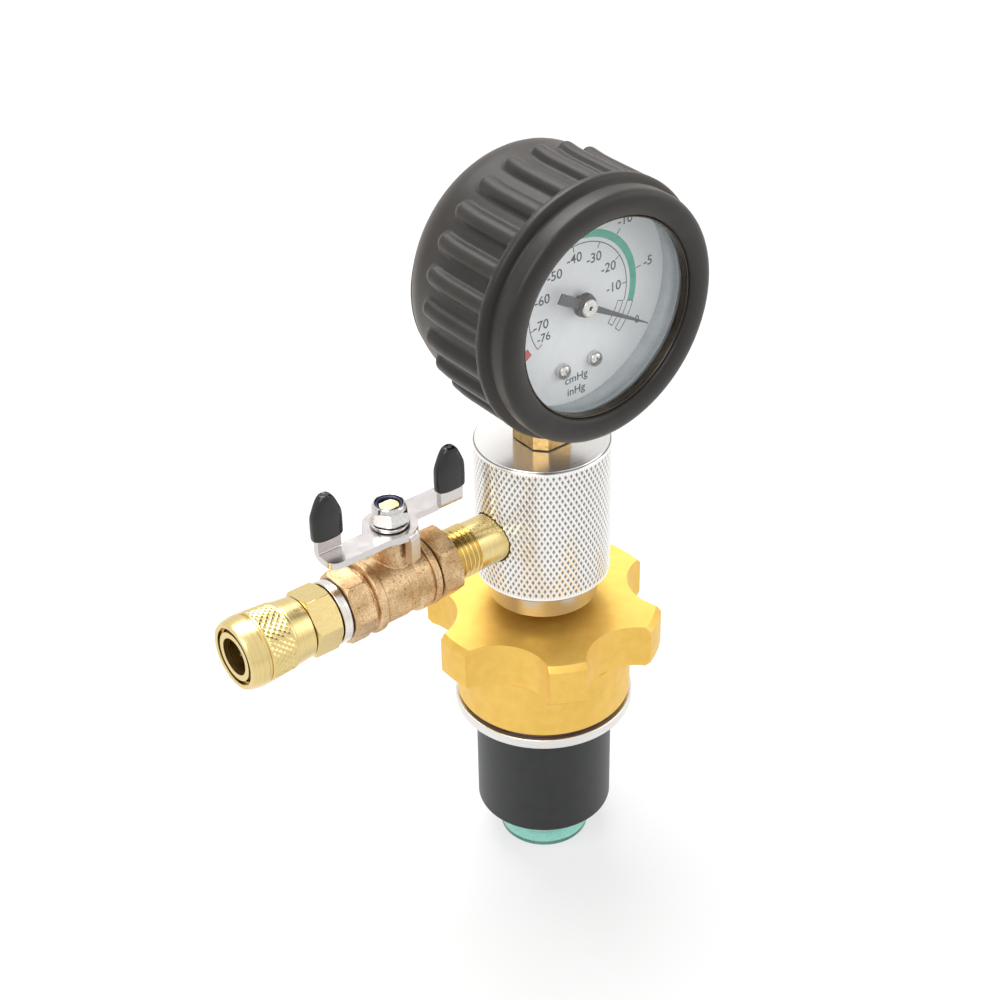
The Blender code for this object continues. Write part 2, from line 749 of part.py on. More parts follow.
def make_knob():
    """The star knob: a six-lobed grip on a plain round skirt, with a washer recess."""
    outline = star_outline()

    def circle(radius, height):
        return [(radius * math.cos(a), radius * math.sin(a), height) for a, _ in outline]

    def star(inset, height):
        points = []
        for angle, radius in outline:
            out = (radius - SKIRT_RADIUS) / (KNOB_RADIUS - SKIRT_RADIUS)
            radius = radius - inset * out
            points.append((radius * math.cos(angle), radius * math.sin(angle), height))
        return points

    roof = KNOB_BOTTOM + KNOB_RECESS_DEPTH
    rings = [
        circle(KNOB_RECESS_RADIUS, KNOB_BOTTOM),
        circle(SKIRT_RADIUS - SKIRT_EDGE, KNOB_BOTTOM),
        circle(SKIRT_RADIUS, KNOB_BOTTOM + SKIRT_EDGE),
        circle(SKIRT_RADIUS, KNOB_MIDDLE),
        star(KNOB_EDGE, KNOB_MIDDLE),
        star(0, KNOB_MIDDLE + KNOB_EDGE),
        star(0, KNOB_TOP - KNOB_EDGE),
        star(KNOB_EDGE, KNOB_TOP),
        circle(SPINDLE_HOLE, KNOB_TOP),
        circle(SPINDLE_HOLE, roof),
        circle(KNOB_RECESS_RADIUS, roof),
    ]
    gold_anodised(loft("star_knob", rings, TUBE))


def make_body():
    """The knurled body with its neck, its chamber and the hole for the side nipple."""
    socket_hole = SOCKET_SPIGOT_RADIUS + GAP
    profile = [
        (SPINDLE_HOLE, NECK_BOTTOM),
        (NECK_RADIUS - NECK_EDGE, NECK_BOTTOM),
        (NECK_RADIUS, NECK_BOTTOM + NECK_EDGE),
        (NECK_RADIUS, BODY_BOTTOM),
        (BODY_RADIUS - BODY_EDGE, BODY_BOTTOM),
        (BODY_RADIUS, BODY_BOTTOM + BODY_EDGE),
        (BODY_RADIUS, BODY_TOP - BODY_EDGE),
        (BODY_RADIUS - BODY_EDGE, BODY_TOP),
        (socket_hole, BODY_TOP),
        (socket_hole, CHAMBER_TOP),
        (CHAMBER_RADIUS, CHAMBER_TOP),
        (CHAMBER_RADIUS, CHAMBER_BOTTOM),
        (SPINDLE_HOLE, CHAMBER_BOTTOM),
    ]
    body = lathe("knurled_body", profile, TUBE, FINE_SIDES)
    hole = NIPPLE_RADIUS + GAP
    far = BODY_RADIUS + OVERRUN
    aluminium(cut(body, rod("side hole", hole, CHAMBER_RADIUS / 2, far, PIPE)))


def make_nipple():
    """The side nipple, plain where it leaves the body and threaded into the valve."""
    end = END_HEX_END - END_HEX_WALL - GAP
    root = THREAD_RADIUS - THREAD_DEPTH
    profile = [
        (NIPPLE_BORE, NIPPLE_START),
        (NIPPLE_RADIUS, NIPPLE_START),
        (NIPPLE_RADIUS, THREAD_START),
    ]
    turns = int((end - THREAD_START) / THREAD_PITCH)
    for turn in range(turns):
        height = THREAD_START + turn * THREAD_PITCH
        profile.append((root, height + THREAD_PITCH / 4))
        profile.append((THREAD_RADIUS, height + THREAD_PITCH * 3 / 4))
    profile += [(root, end), (NIPPLE_BORE, end)]
    brass(lathe("port_nipple", profile, PIPE, SMALL_SIDES))


def make_end_piece():
    """The hexagonal end piece, screwed on the nipple, with its spigot in the valve."""
    wall = END_HEX_END - END_HEX_WALL
    piece = hex_bar(
        "valve_end_piece",
        END_HEX_FLATS,
        END_HEX_START,
        END_HEX_END,
        END_HEX_TURN,
        PIPE,
    )
    spigot_end = END_HEX_END + END_SPIGOT_LENGTH
    spigot_start = END_HEX_END - END_HEX_WALL / 2
    join(piece, rod("spigot", END_SPIGOT_RADIUS, spigot_start, spigot_end, PIPE))
    thread_hole = THREAD_RADIUS + GAP
    before, after = END_HEX_START - OVERRUN, spigot_end + OVERRUN
    cut(
        piece,
        rod("thread hole", thread_hole, before, wall, PIPE),
        rod("bore", VALVE_BORE, before, after, PIPE),
    )
    bronze(piece)


def make_valve_body():
    """The valve body: ring, collars, barrel, hexagonal end and the stem's collar."""
    cavity_end = BALL_U + BALL_CAVITY_END
    ring_edge = VALVE_RING_RADIUS - VALVE_RING_EDGE
    port_start = cavity_end + PORT_WALL
    overlap = VALVE_HEX_START + VALVE_HEX_LENGTH / 2
    inscribed = VALVE_HEX_FLATS / 2 - OVERRUN / 2
    profile = [
        (0, VALVE_START),
        (ring_edge, VALVE_START),
        (VALVE_RING_RADIUS, VALVE_START + VALVE_RING_EDGE),
        (VALVE_RING_RADIUS, VALVE_RING_END),
        (BARREL_RADIUS, VALVE_RING_END),
        (BARREL_RADIUS, INNER_COLLAR_START),
        (VALVE_RING_RADIUS, INNER_COLLAR_START),
        (VALVE_RING_RADIUS, INNER_COLLAR_END),
        (BARREL_RADIUS, BARREL_START),
        (BARREL_RADIUS, BARREL_END),
        (OUTER_COLLAR_RADIUS, OUTER_COLLAR_START),
        (OUTER_COLLAR_RADIUS, VALVE_HEX_START),
        (inscribed, VALVE_HEX_START),
        (inscribed, overlap),
        (0, overlap),
    ]
    body = lathe("valve_body", profile, PIPE)
    hexagon = hex_bar(
        "hexagon",
        VALVE_HEX_FLATS,
        VALVE_HEX_START - COLLAR_TAPER,
        VALVE_END,
        VALVE_HEX_TURN,
        PIPE,
    )
    collar = rod("collar", STEM_COLLAR_RADIUS, BALL_RADIUS, STEM_COLLAR_HEIGHT, STEM)
    join(body, hexagon, collar)
    before, after = VALVE_START - OVERRUN, VALVE_END + OVERRUN
    top = STEM_COLLAR_HEIGHT + OVERRUN
    cut(
        body,
        rod("cavity", BALL_CAVITY_RADIUS, before, cavity_end, PIPE),
        rod("throat", THROAT_RADIUS, BALL_U, after, PIPE, SMALL_SIDES),
        rod("port", PORT_RADIUS, port_start, after, PIPE),
        rod("foot", STEM_FOOT_BORE, BALL_RADIUS / 2, STEM_FOOT_ROOF, STEM),
        rod("stem hole", STEM_RADIUS + GAP, BALL_RADIUS, top, STEM, SMALL_SIDES),
        rod("packing", STEM_FOOT_BORE, PACKING_FLOOR, top, STEM),
    )
    bronze(body)


def make_ball():
    """The ball with its bore along the pipe, and the slot that the stem's tang fills."""
    steps = BALL_STEPS
    angles = [math.pi * (k / steps - 0.5) for k in range(steps + 1)]
    profile = [(BALL_RADIUS * math.cos(a), BALL_RADIUS * math.sin(a)) for a in angles]
    profile[0] = (0, -BALL_RADIUS)
    profile[-1] = (0, BALL_RADIUS)
    ball = lathe("valve_ball", profile, STEM, SMALL_SIDES)
    reach = BALL_RADIUS + OVERRUN
    along = frame_at(STEM.translation, (0, -1, 0), (0, 0, 1))
    bore = rod("bore", BALL_BORE, -reach, reach, along, SMALL_SIDES)
    half = TANG_THICKNESS / 2 + GAP
    floor = TANG_BOTTOM - GAP
    slot = box("slot", (-half, half), (-reach, reach), (floor, reach), STEM)
    steel(cut(ball, bore, slot))


def make_seats():
    """The two plastic rings that the ball turns in."""
    front = math.sqrt(BALL_RADIUS**2 - THROAT_RADIUS**2)
    near = front - SEAT_LIP / 2
    outer = BALL_CAVITY_RADIUS - GAP
    lip = THROAT_RADIUS + SEAT_LIP
    profile = [
        (THROAT_RADIUS, near + SEAT_DEPTH),
        (outer, near + SEAT_DEPTH),
        (outer, near),
        (lip, near),
        (THROAT_RADIUS, near + SEAT_LAND),
    ]
    for name, side in (("ball_seat_outer", 1), ("ball_seat_inner", -1)):
        placed = [(radius, BALL_U + side * reach) for radius, reach in profile]
        plastic(lathe(name, placed, PIPE, SMALL_SIDES), (0.80, 0.80, 0.76))


def double_flat(name, radius, flats, bottom, top):
    """A round bar on the stem's axis with a flat milled on each of two sides."""
    bar = rod(name, radius, bottom, top, STEM, SMALL_SIDES)
    reach = radius + OVERRUN
    half = flats / 2
    ends = (bottom - OVERRUN, top + OVERRUN)
    keep = box("flats", (-reach, reach), (-half, half), ends, STEM)
    return combine(bar, keep, "INTERSECT")


def make_stem():
    """The stem: tang in the ball, foot under the body, two flats for the handle."""
    foot_top = STEM_FOOT_ROOF - GAP
    profile = [
        (0, STEM_FOOT_BOTTOM),
        (STEM_FOOT_BORE - GAP, STEM_FOOT_BOTTOM),
        (STEM_FOOT_BORE - GAP, foot_top),
        (STEM_RADIUS, foot_top),
        (STEM_RADIUS, STEM_FLATS_START),
        (0, STEM_FLATS_START),
    ]
    stem = lathe("valve_stem", profile, STEM, SMALL_SIDES)
    half, width = TANG_THICKNESS / 2, TANG_WIDTH / 2
    overlap = foot_top - OVERRUN / 2
    tang = box("tang", (-half, half), (-width, width), (TANG_BOTTOM, overlap), STEM)
    start = STEM_FLATS_START - OVERRUN
    tail = double_flat("tail", STEM_RADIUS, STEM_FLATS, start, STEM_TOP)
    brass(join(stem, tang, tail))
    profile = [
        (STEM_RADIUS + GAP, PACKING_FLOOR + GAP),
        (STEM_FOOT_BORE - GAP, PACKING_FLOOR + GAP),
        (STEM_FOOT_BORE - GAP, STEM_COLLAR_HEIGHT - GAP),
        (STEM_RADIUS + GAP, STEM_COLLAR_HEIGHT - GAP),
    ]
    plastic(lathe("stem_packing", profile, STEM, SMALL_SIDES), (0.80, 0.80, 0.76))


def plate_outline():
    """The flat of the handle seen from above: a disc with two arms, the same turned."""
    rear = math.asin(-ARM_BACK / HANDLE_DISC_RADIUS)
    front = math.asin(ARM_FRONT / HANDLE_DISC_RADIUS)
    corner = (ARM_REACH - ARM_CORNER, ARM_FRONT - ARM_CORNER)
    bend = BEND_RADIUS - WING_OFFSET - HANDLE_THICKNESS / 2
    half = [(HANDLE_DISC_RADIUS * math.cos(rear), -ARM_BACK)]
    half += [(WING_START, -ARM_BACK), (WING_START, bend), (ARM_REACH, bend)]
    half += arc(corner, ARM_CORNER, 0, math.pi / 2, BEND_STEPS)
    half += arc((0, 0), HANDLE_DISC_RADIUS, front, math.pi + rear, 6)[:-1]
    return half + [(-x, -y) for x, y in half]


def bent_section(face, far, root, plate_bottom, upwards):
    """Outline of a strip that leaves a level plate and bends up or down.

    face is the strip's outer side, far the height that it ends at, and root the
    place in the plate where it starts.
    """
    inner_radius = BEND_RADIUS - HANDLE_THICKNESS
    plate_top = plate_bottom + HANDLE_THICKNESS
    centre_x = face - BEND_RADIUS
    inner_face = face - HANDLE_THICKNESS
    if upwards:
        centre = (centre_x, plate_bottom + BEND_RADIUS)
        outer_level, inner_level, turn = plate_bottom, plate_top, 1
    else:
        centre = (centre_x, plate_top - BEND_RADIUS)
        outer_level, inner_level, turn = plate_top, plate_bottom, -1
    quarter = math.pi / 2
    outline = [(root, outer_level)]
    outline += arc(centre, BEND_RADIUS, -turn * quarter, 0, BEND_STEPS)
    outline += [(face, far), (inner_face, far)]
    outline += arc(centre, inner_radius, 0, -turn * quarter, BEND_STEPS)
    return outline + [(root, inner_level)]


def wing_frame(side):
    """A frame whose X crosses a wing, whose Y is up and whose -Z runs out along it."""
    return frame_at(STEM.translation, (0, -side, 0), (0, 0, 1))


def make_handle():
    """The stamped butterfly handle with its two wings, stop tab and keyed hole."""
    bottom = STEM_COLLAR_HEIGHT + GAP
    top = bottom + HANDLE_THICKNESS
    handle = prism("butterfly_handle", plate_outline(), bottom, top, STEM)
    face = WING_OFFSET + HANDLE_THICKNESS / 2
    root = face - BEND_RADIUS - ARM_BACK
    section = bent_section(face, WING_TOP, root, bottom, True)
    for side in (1, -1):
        wing = prism("wing", section, -WING_END, -WING_START, wing_frame(side))
        join(handle, wing)
    section = bent_section(TAB_REACH, TAB_BOTTOM, TAB_ROOT, bottom, False)
    outwards = (math.cos(TAB_TURN), math.sin(TAB_TURN), 0)
    tab_frame = frame_at(STEM.translation, outwards, (0, 0, 1))
    join(handle, prism("tab", section, -TAB_WIDTH / 2, TAB_WIDTH / 2, tab_frame))
    hole = double_flat(
        "hole",
        STEM_RADIUS + GAP,
        STEM_FLATS + 2 * GAP,
        bottom - OVERRUN,
        top + OVERRUN,
    )
    steel(cut(handle, hole))


def make_grip(name, side):
    """A soft grip pushed over a wing, rounded off and narrower towards its top."""
    middle = (WING_START + WING_END) / 2
    height = GRIP_TOP - GRIP_BOTTOM
    taper_start = GRIP_TOP - height * GRIP_TAPER_SHARE
    levels = [(GRIP_BOTTOM, 1.0)]
    for k in range(GRIP_STEPS + 1):
        turn = math.pi / 2 * k / GRIP_STEPS
        rise = (GRIP_TOP - taper_start) * math.sin(turn)
        levels.append((taper_start + rise, max(math.cos(turn), 1 - GRIP_NARROW_SHARE)))
    rings = []
    for level, share in levels:
        wide = GRIP_WIDTH / 2 * share
        thick = GRIP_THICKNESS / 2 * (1 + share) / 2
        corner = thick / 2
        ring = []
        for x_sign, y_sign, start in ((1, 1, 0), (-1, 1, 1), (-1, -1, 2), (1, -1, 3)):
            centre = (
                side * middle + x_sign * (wide - corner),
                -side * WING_OFFSET + y_sign * (thick - corner),
            )
            first = start * math.pi / 2
            ring += arc(centre, corner, first, first + math.pi / 2, 2)
        rings.append([(x, y, level) for x, y in ring])
    bm = bmesh.new()
    rows = [[bm.verts.new(point) for point in ring] for ring in rings]
    for row, after in zip(rows, rows[1:]):
        for i in range(len(row)):
            j = (i + 1) % len(row)
            bm.faces.new((row[i], row[j], after[j], after[i]))
    bm.faces.new(rows[0])
    bm.faces.new(rows[-1])
    grip = add_object(name, bm, STEM)
    inner, outer = WING_START - GAP, WING_END + GAP
    x_ends = sorted((side * inner, side * outer))
    centre = -side * WING_OFFSET
    half = HANDLE_THICKNESS / 2 + GAP
    z_ends = (GRIP_BOTTOM - OVERRUN, WING_TOP + GAP)
    pocket = box("pocket", x_ends, (centre - half, centre + half), z_ends, STEM)
    rubber(cut(grip, pocket))


def make_nut():
    """The washer, the lock nut with its round crown, and the nylon ring inside it."""
    hole = STEM_RADIUS + GAP
    washer_bottom = STEM_COLLAR_HEIGHT + GAP + HANDLE_THICKNESS + GAP
    washer_top = washer_bottom + WASHER_THICKNESS
    profile = [
        (hole, washer_bottom),
        (WASHER_RADIUS, washer_bottom),
        (WASHER_RADIUS, washer_top),
        (hole, washer_top),
    ]
    steel(lathe("handle_washer", profile, STEM, SMALL_SIDES))
    bottom = washer_top + GAP
    top = bottom + NUT_HEIGHT
    hex_top = bottom + NUT_HEIGHT * NUT_HEX_SHARE
    nut = hex_bar("handle_nut", NUT_FLATS, bottom, hex_top, math.pi / 6, STEM)
    recess = INSERT_RADIUS + GAP
    insert_top = top - INSERT_DEPTH
    insert_bottom = insert_top - INSERT_HEIGHT
    join(nut, rod("crown", NUT_CROWN_RADIUS, bottom + OVERRUN, top, STEM, SMALL_SIDES))
    cut(
        nut,
        rod("hole", hole, bottom - OVERRUN, top + OVERRUN, STEM, SMALL_SIDES),
        rod("recess", recess - GAP / 2, insert_bottom - GAP, top + GAP, STEM, SMALL_SIDES),
    )
    steel(nut)
    outer = INSERT_RADIUS - GAP / 2
    profile = [
        (hole, insert_bottom),
        (outer, insert_bottom),
        (outer, insert_top),
        (hole, insert_top),
    ]
    plastic(lathe("nut_insert", profile, STEM, SMALL_SIDES), (0.02, 0.03, 0.08))


def make_adapter():
    """The gasket and the adapter between the valve's port and the coupler."""
    plug = PORT_RADIUS - GAP
    middle = (VALVE_END + ADAPTER_START) / 2
    half = GASKET_THICKNESS / 2
    profile = [
        (PORT_RADIUS, middle - half),
        (GASKET_RADIUS, middle - half),
        (GASKET_RADIUS, middle + half),
        (PORT_RADIUS, middle + half),
    ]
    rubber(lathe("adapter_gasket", profile, PIPE))
    plug_start = VALVE_END - ADAPTER_PLUG_LENGTH
    nose_end = ADAPTER_END + ADAPTER_NOSE_LENGTH
    edge = ADAPTER_RADIUS - ADAPTER_EDGE
    profile = [
        (ADAPTER_BORE, plug_start),
        (plug, plug_start),
        (plug, ADAPTER_START),
        (edge, ADAPTER_START),
        (ADAPTER_RADIUS, ADAPTER_START + ADAPTER_EDGE),
        (ADAPTER_RADIUS, ADAPTER_END - ADAPTER_EDGE),
        (edge, ADAPTER_END),
        (ADAPTER_NOSE_RADIUS, ADAPTER_END),
        (ADAPTER_NOSE_RADIUS, nose_end),
        (ADAPTER_BORE, nose_end),
    ]
    steel(lathe("adapter_nipple", profile, PIPE))


def make_coupler_body():
    """The coupler's body: hexagon, shank, socket tube, spring collar and ball holes."""
    shank_end = COUPLER_HEX_END + COUPLER_SHANK_LENGTH
    socket_start = COUPLER_END - SOCKET_DEPTH
    groove_start = COUPLER_END - SEAL_SETBACK - SEAL_GROOVE_LENGTH
    collar_start = COUPLER_END - SPRING_COLLAR_SETBACK - SPRING_COLLAR_LENGTH
    collar_end = COUPLER_END - SPRING_COLLAR_SETBACK
    overlap = COUPLER_HEX_END - COUPLER_WALL
    nose_hole = ADAPTER_NOSE_RADIUS + GAP
    profile = [
        (0, overlap),
        (COUPLER_SHANK_RADIUS, overlap),
        (COUPLER_SHANK_RADIUS, shank_end),
        (COUPLER_TUBE_RADIUS, shank_end),
        (COUPLER_TUBE_RADIUS, collar_start),
        (SPRING_COLLAR_RADIUS, collar_start),
        (SPRING_COLLAR_RADIUS, collar_end),
        (COUPLER_TUBE_RADIUS, collar_end),
        (COUPLER_TUBE_RADIUS, COUPLER_END),
        (SOCKET_RADIUS, COUPLER_END),
        (SOCKET_RADIUS, groove_start + SEAL_GROOVE_LENGTH),
        (SEAL_GROOVE_RADIUS, groove_start + SEAL_GROOVE_LENGTH),
        (SEAL_GROOVE_RADIUS, groove_start),
        (SOCKET_RADIUS, groove_start),
        (SOCKET_RADIUS, socket_start),
        (0, socket_start),
    ]
    tube = lathe("tube", profile, PIPE)
    body = hex_bar(
        "coupler_body",
        COUPLER_HEX_FLATS,
        COUPLER_START,
        COUPLER_HEX_END,
        COUPLER_HEX_TURN,
        PIPE,
    )
    join(body, tube)
    wall = COUPLER_START + ADAPTER_NOSE_LENGTH
    before, after = COUPLER_START - OVERRUN, socket_start + OVERRUN
    cut(
        body,
        rod("nose hole", nose_hole, before, wall, PIPE),
        rod("throat", ADAPTER_BORE, before, after, PIPE, SMALL_SIDES),
    )
    hole = LOCK_BALL_RADIUS + LOCK_BALL_SLACK
    inner = SOCKET_RADIUS - OVERRUN
    outer = COUPLER_TUBE_RADIUS + OVERRUN
    for k in range(LOCK_BALLS):
        frame = lock_ball_frame(k)
        cut(body, rod("ball hole", hole, inner, outer, frame, PIN_SIDES))
    brass(body)


def lock_ball_frame(k):
    """A frame on the pipe's axis whose Z points at one of the locking balls."""
    turn = math.tau * (k + 0.5) / LOCK_BALLS
    place = COUPLER_END - LOCK_BALL_SETBACK
    outwards = Vector((0, -math.cos(turn), math.sin(turn)))
    along = Vector((1, 0, 0))
    return frame_at((-place, 0, VALVE_Z), along, outwards.cross(along))


def make_coupler_parts():
    """The seal, the locking balls and the return spring inside the sleeve."""
    seal_middle = COUPLER_END - SEAL_SETBACK - SEAL_GROOVE_LENGTH / 2
    half = SEAL_GROOVE_LENGTH / 2 - GAP
    outer = SEAL_GROOVE_RADIUS - GAP
    inner = SOCKET_RADIUS - SEAL_BITE
    profile = [
        (inner, seal_middle - half),
        (outer, seal_middle - half),
        (outer, seal_middle + half),
        (inner, seal_middle + half),
    ]
    rubber(lathe("coupler_seal", profile, PIPE, SMALL_SIDES))
    for k in range(LOCK_BALLS):
        steps = LOCK_BALL_STEPS
        angles = [math.pi * (i / steps - 0.5) for i in range(steps + 1)]
        profile = []
        for angle in angles:
            radius = max(LOCK_BALL_RADIUS * math.cos(angle), 0)
            height = LOCK_BALL_CIRCLE + LOCK_BALL_RADIUS * math.sin(angle)
            profile.append((radius, height))
        profile[0] = (0, profile[0][1])
        profile[-1] = (0, profile[-1][1])
        name = f"coupler_ball_{k + 1}"
        steel(lathe(name, profile, lock_ball_frame(k), LOCK_BALL_SIDES))
    steel(make_spring())


def make_spring():
    """The coil spring, drawn pressed against the collar as when the sleeve is out."""
    end = COUPLER_END - SPRING_COLLAR_SETBACK - SPRING_COLLAR_LENGTH - GAP
    start = end - SPRING_LENGTH
    rise = SPRING_LENGTH - 2 * SPRING_WIRE_RADIUS
    count = int(SPRING_TURNS * SPRING_STEPS)
    bm = bmesh.new()
    rows = []
    for k in range(count + 1):
        share = k / count
        turn = math.tau * SPRING_TURNS * share
        out = Vector((math.cos(turn), math.sin(turn), 0))
        height = start + SPRING_WIRE_RADIUS + rise * share
        row = []
        for corner in range(WIRE_SIDES):
            angle = math.tau * corner / WIRE_SIDES
            radius = SPRING_RADIUS + SPRING_WIRE_RADIUS * math.cos(angle)
            lift = SPRING_WIRE_RADIUS * math.sin(angle)
            row.append(bm.verts.new(out * radius + Vector((0, 0, height + lift))))
        rows.append(row)
    for row, after in zip(rows, rows[1:]):
        for i in range(WIRE_SIDES):
            j = (i + 1) % WIRE_SIDES
            bm.faces.new((row[i], row[j], after[j], after[i]))
    bm.faces.new(rows[0])
    bm.faces.new(rows[-1])
    return add_object("coupler_spring", bm, PIPE)


def make_coupler_sleeve():
    """The sliding sleeve with its knurled grip, locking land and open mouth."""
    knurl_start = SLEEVE_START + SLEEVE_SMOOTH_LENGTH
    knurl_end = knurl_start + SLEEVE_KNURL_LENGTH
    nose_start = knurl_end + SLEEVE_GROOVE_LENGTH
    mouth = nose_start + SLEEVE_NOSE_LENGTH
    rear_hole = COUPLER_SHANK_RADIUS + GAP
    cavity_start = SLEEVE_START + SLEEVE_CAVITY_START
    land_end = mouth - (SLEEVE_NOSE_LENGTH - SLEEVE_LAND_LENGTH) - GAP
    land_start = land_end - SLEEVE_LAND_LENGTH
    profile = [
        (rear_hole, SLEEVE_START),
        (SLEEVE_REAR_RADIUS, SLEEVE_START),
        (SLEEVE_SMOOTH_RADIUS, knurl_start),
        (SLEEVE_KNURL_START_RADIUS, knurl_start),
        (SLEEVE_KNURL_END_RADIUS, knurl_end),
        (SLEEVE_GROOVE_RADIUS, knurl_end),
        (SLEEVE_GROOVE_RADIUS, nose_start),
        (SLEEVE_NOSE_RADIUS, nose_start),
        (SLEEVE_MOUTH_RADIUS, mouth),
        (SLEEVE_MOUTH_BORE, mouth),
        (SLEEVE_MOUTH_BORE, land_end),
        (SLEEVE_LAND_RADIUS, land_end),
        (SLEEVE_LAND_RADIUS, land_start),
        (SLEEVE_CAVITY_RADIUS, land_start),
        (SLEEVE_CAVITY_RADIUS, cavity_start),
        (rear_hole, cavity_start),
    ]
    brass(lathe("coupler_sleeve", profile, PIPE))


def square_outline(width, chamfer):
    """A square with cut corners."""
    half = width / 2
    short = half - chamfer
    corners = []
    for x, y in ((1, 1), (-1, 1), (-1, -1), (1, -1)):
        pair = [(x * half, y * short), (x * short, y * half)]
        corners += pair if x == y else pair[::-1]
    return corners


def make_gauge_socket():
    """The gauge's brass stem: spigot, square for a spanner, neck and inner block."""
    spigot_bottom = CHAMBER_TOP + GAP
    square_bottom = BODY_TOP + GAP
    square_top = GAUGE_Z - CASE_RADIUS - GAP
    block_top = GAUGE_Z - BLOCK_DROP
    block_bottom = GAUGE_Z - BLOCK_END
    neck_top = block_bottom + BLOCK_OVERLAP
    half = BLOCK_WIDTH / 2
    socket = rod(
        "gauge_socket",
        SOCKET_SPIGOT_RADIUS,
        spigot_bottom,
        neck_top,
        TUBE,
    )
    outline = square_outline(STEM_SQUARE, STEM_CHAMFER)
    square = prism("square", outline, square_bottom, square_top, TUBE)
    block = box(
        "block",
        (-half, half),
        (-BLOCK_FRONT, BLOCK_BACK),
        (block_bottom, block_top),
        TUBE,
    )
    join(socket, square, block)
    bore_bottom = spigot_bottom - OVERRUN
    cut(socket, rod("bore", SOCKET_BORE, bore_bottom, neck_top, TUBE, SMALL_SIDES))
    floor = DIAL_FACE + GAP - DIAL_SCREW_LENGTH - GAP
    for side in (-1, 1):
        frame = screw_frame(side)
        hole = DIAL_SCREW_SHANK + GAP
        top = BLOCK_FRONT + OVERRUN
        cut(socket, rod("screw hole", hole, floor, top, frame, PIN_SIDES))
    brass(socket)


def screw_frame(side):
    """The frame of one dial screw, on the gauge's face."""
    origin = (side * DIAL_SCREW_SPREAD, 0, GAUGE_Z - DIAL_SCREW_DROP)
    return frame_at(origin, (1, 0, 0), (0, 0, 1))


def downwards(origin):
    """A frame whose Z points straight down."""
    return frame_at(origin, (1, 0, 0), (0, -1, 0))


def make_case():
    """The thin steel can of the gauge, with a hole at the bottom for its stem."""
    inner = CASE_RADIUS - CASE_WALL
    profile = [
        (0, -CASE_BACK),
        (CASE_RADIUS, -CASE_BACK),
        (CASE_RADIUS, CASE_FRONT),
        (inner, CASE_FRONT),
        (inner, -CASE_BACK + CASE_WALL),
        (0, -CASE_BACK + CASE_WALL),
    ]
    case = lathe("gauge_case", profile, GAUGE, FINE_SIDES)
    hole = SOCKET_SPIGOT_RADIUS + GAP
    near, far = BLOCK_DROP, CASE_RADIUS + OVERRUN
    steel(cut(case, rod("stem hole", hole, near, far, downwards(GAUGE.translation))))


def make_front():
    """The bezel, the lens and the white ring between the lens and the dial."""
    rim = CASE_FRONT + GAP
    wall = CASE_RADIUS - BEZEL_WALL
    under = BEZEL_FRONT - BEZEL_WALL
    profile = [
        (BEZEL_OPENING, under),
        (BEZEL_OPENING, BEZEL_FRONT),
        (CASE_RADIUS, BEZEL_FRONT),
        (CASE_RADIUS, rim),
        (wall, rim),
        (wall, under),
    ]
    steel(lathe("gauge_bezel", profile, GAUGE, FINE_SIDES))
    lens = rod("gauge_lens", LENS_RADIUS, LENS_BACK, LENS_FRONT, GAUGE, FINE_SIDES)
    plastic(lens, (0.9, 0.95, 0.95), 0.05)
    back, front = DIAL_FACE + GAP, LENS_BACK - GAP
    profile = [
        (INNER_RING_OPENING, back),
        (INNER_RING_RADIUS, back),
        (INNER_RING_RADIUS, front),
        (INNER_RING_OPENING, front),
    ]
    plastic(lathe("inner_ring", profile, GAUGE, FINE_SIDES), (0.7, 0.74, 0.75))


def make_dial():
    """The dial plate and the two screws that hold it on the block."""
    profile = [
        (DIAL_HOLE, DIAL_BACK),
        (DIAL_RADIUS, DIAL_BACK),
        (DIAL_RADIUS, DIAL_FACE),
        (DIAL_HOLE, DIAL_FACE),
    ]
    dial = lathe("dial_plate", profile, GAUGE, FINE_SIDES)
    before, after = DIAL_BACK - OVERRUN, DIAL_FACE + OVERRUN
    seat = DIAL_FACE + GAP
    hole = DIAL_SCREW_SHANK + GAP
    for side, word in ((-1, "left"), (1, "right")):
        frame = screw_frame(side)
        cut(dial, rod("screw hole", hole, before, after, frame, PIN_SIDES))
        end = seat - DIAL_SCREW_LENGTH
        top = seat + DIAL_SCREW_HEAD_HEIGHT
        shoulder = seat + DIAL_SCREW_HEAD_HEIGHT / 2
        profile = [
            (0, end),
            (DIAL_SCREW_SHANK, end),
            (DIAL_SCREW_SHANK, seat),
            (DIAL_SCREW_HEAD, seat),
            (DIAL_SCREW_HEAD, shoulder),
            (DIAL_SCREW_HEAD / 2, top),
            (0, top),
        ]
        steel(lathe(f"dial_screw_{word}", profile, frame, PIN_SIDES))
    plastic(dial, (0.75, 0.82, 0.83))


def boot_ring(base, rib, depth):
    """One closed ring of the boot at a depth, with the ribs standing on its base."""
    pitch = math.tau / BOOT_RIBS
    foot, crest = pitch * BOOT_RIB_FOOT_SHARE, pitch * BOOT_RIB_CREST_SHARE
    points = []
    for k in range(BOOT_RIBS):
        middle = BOOT_RIB_TURN + k * pitch
        for turn, radius in (
            (-foot, base),
            (-crest, base + rib),
            (crest, base + rib),
            (foot, base),
        ):
            angle = middle + turn
            points.append((radius * math.cos(angle), radius * math.sin(angle), depth))
    return points


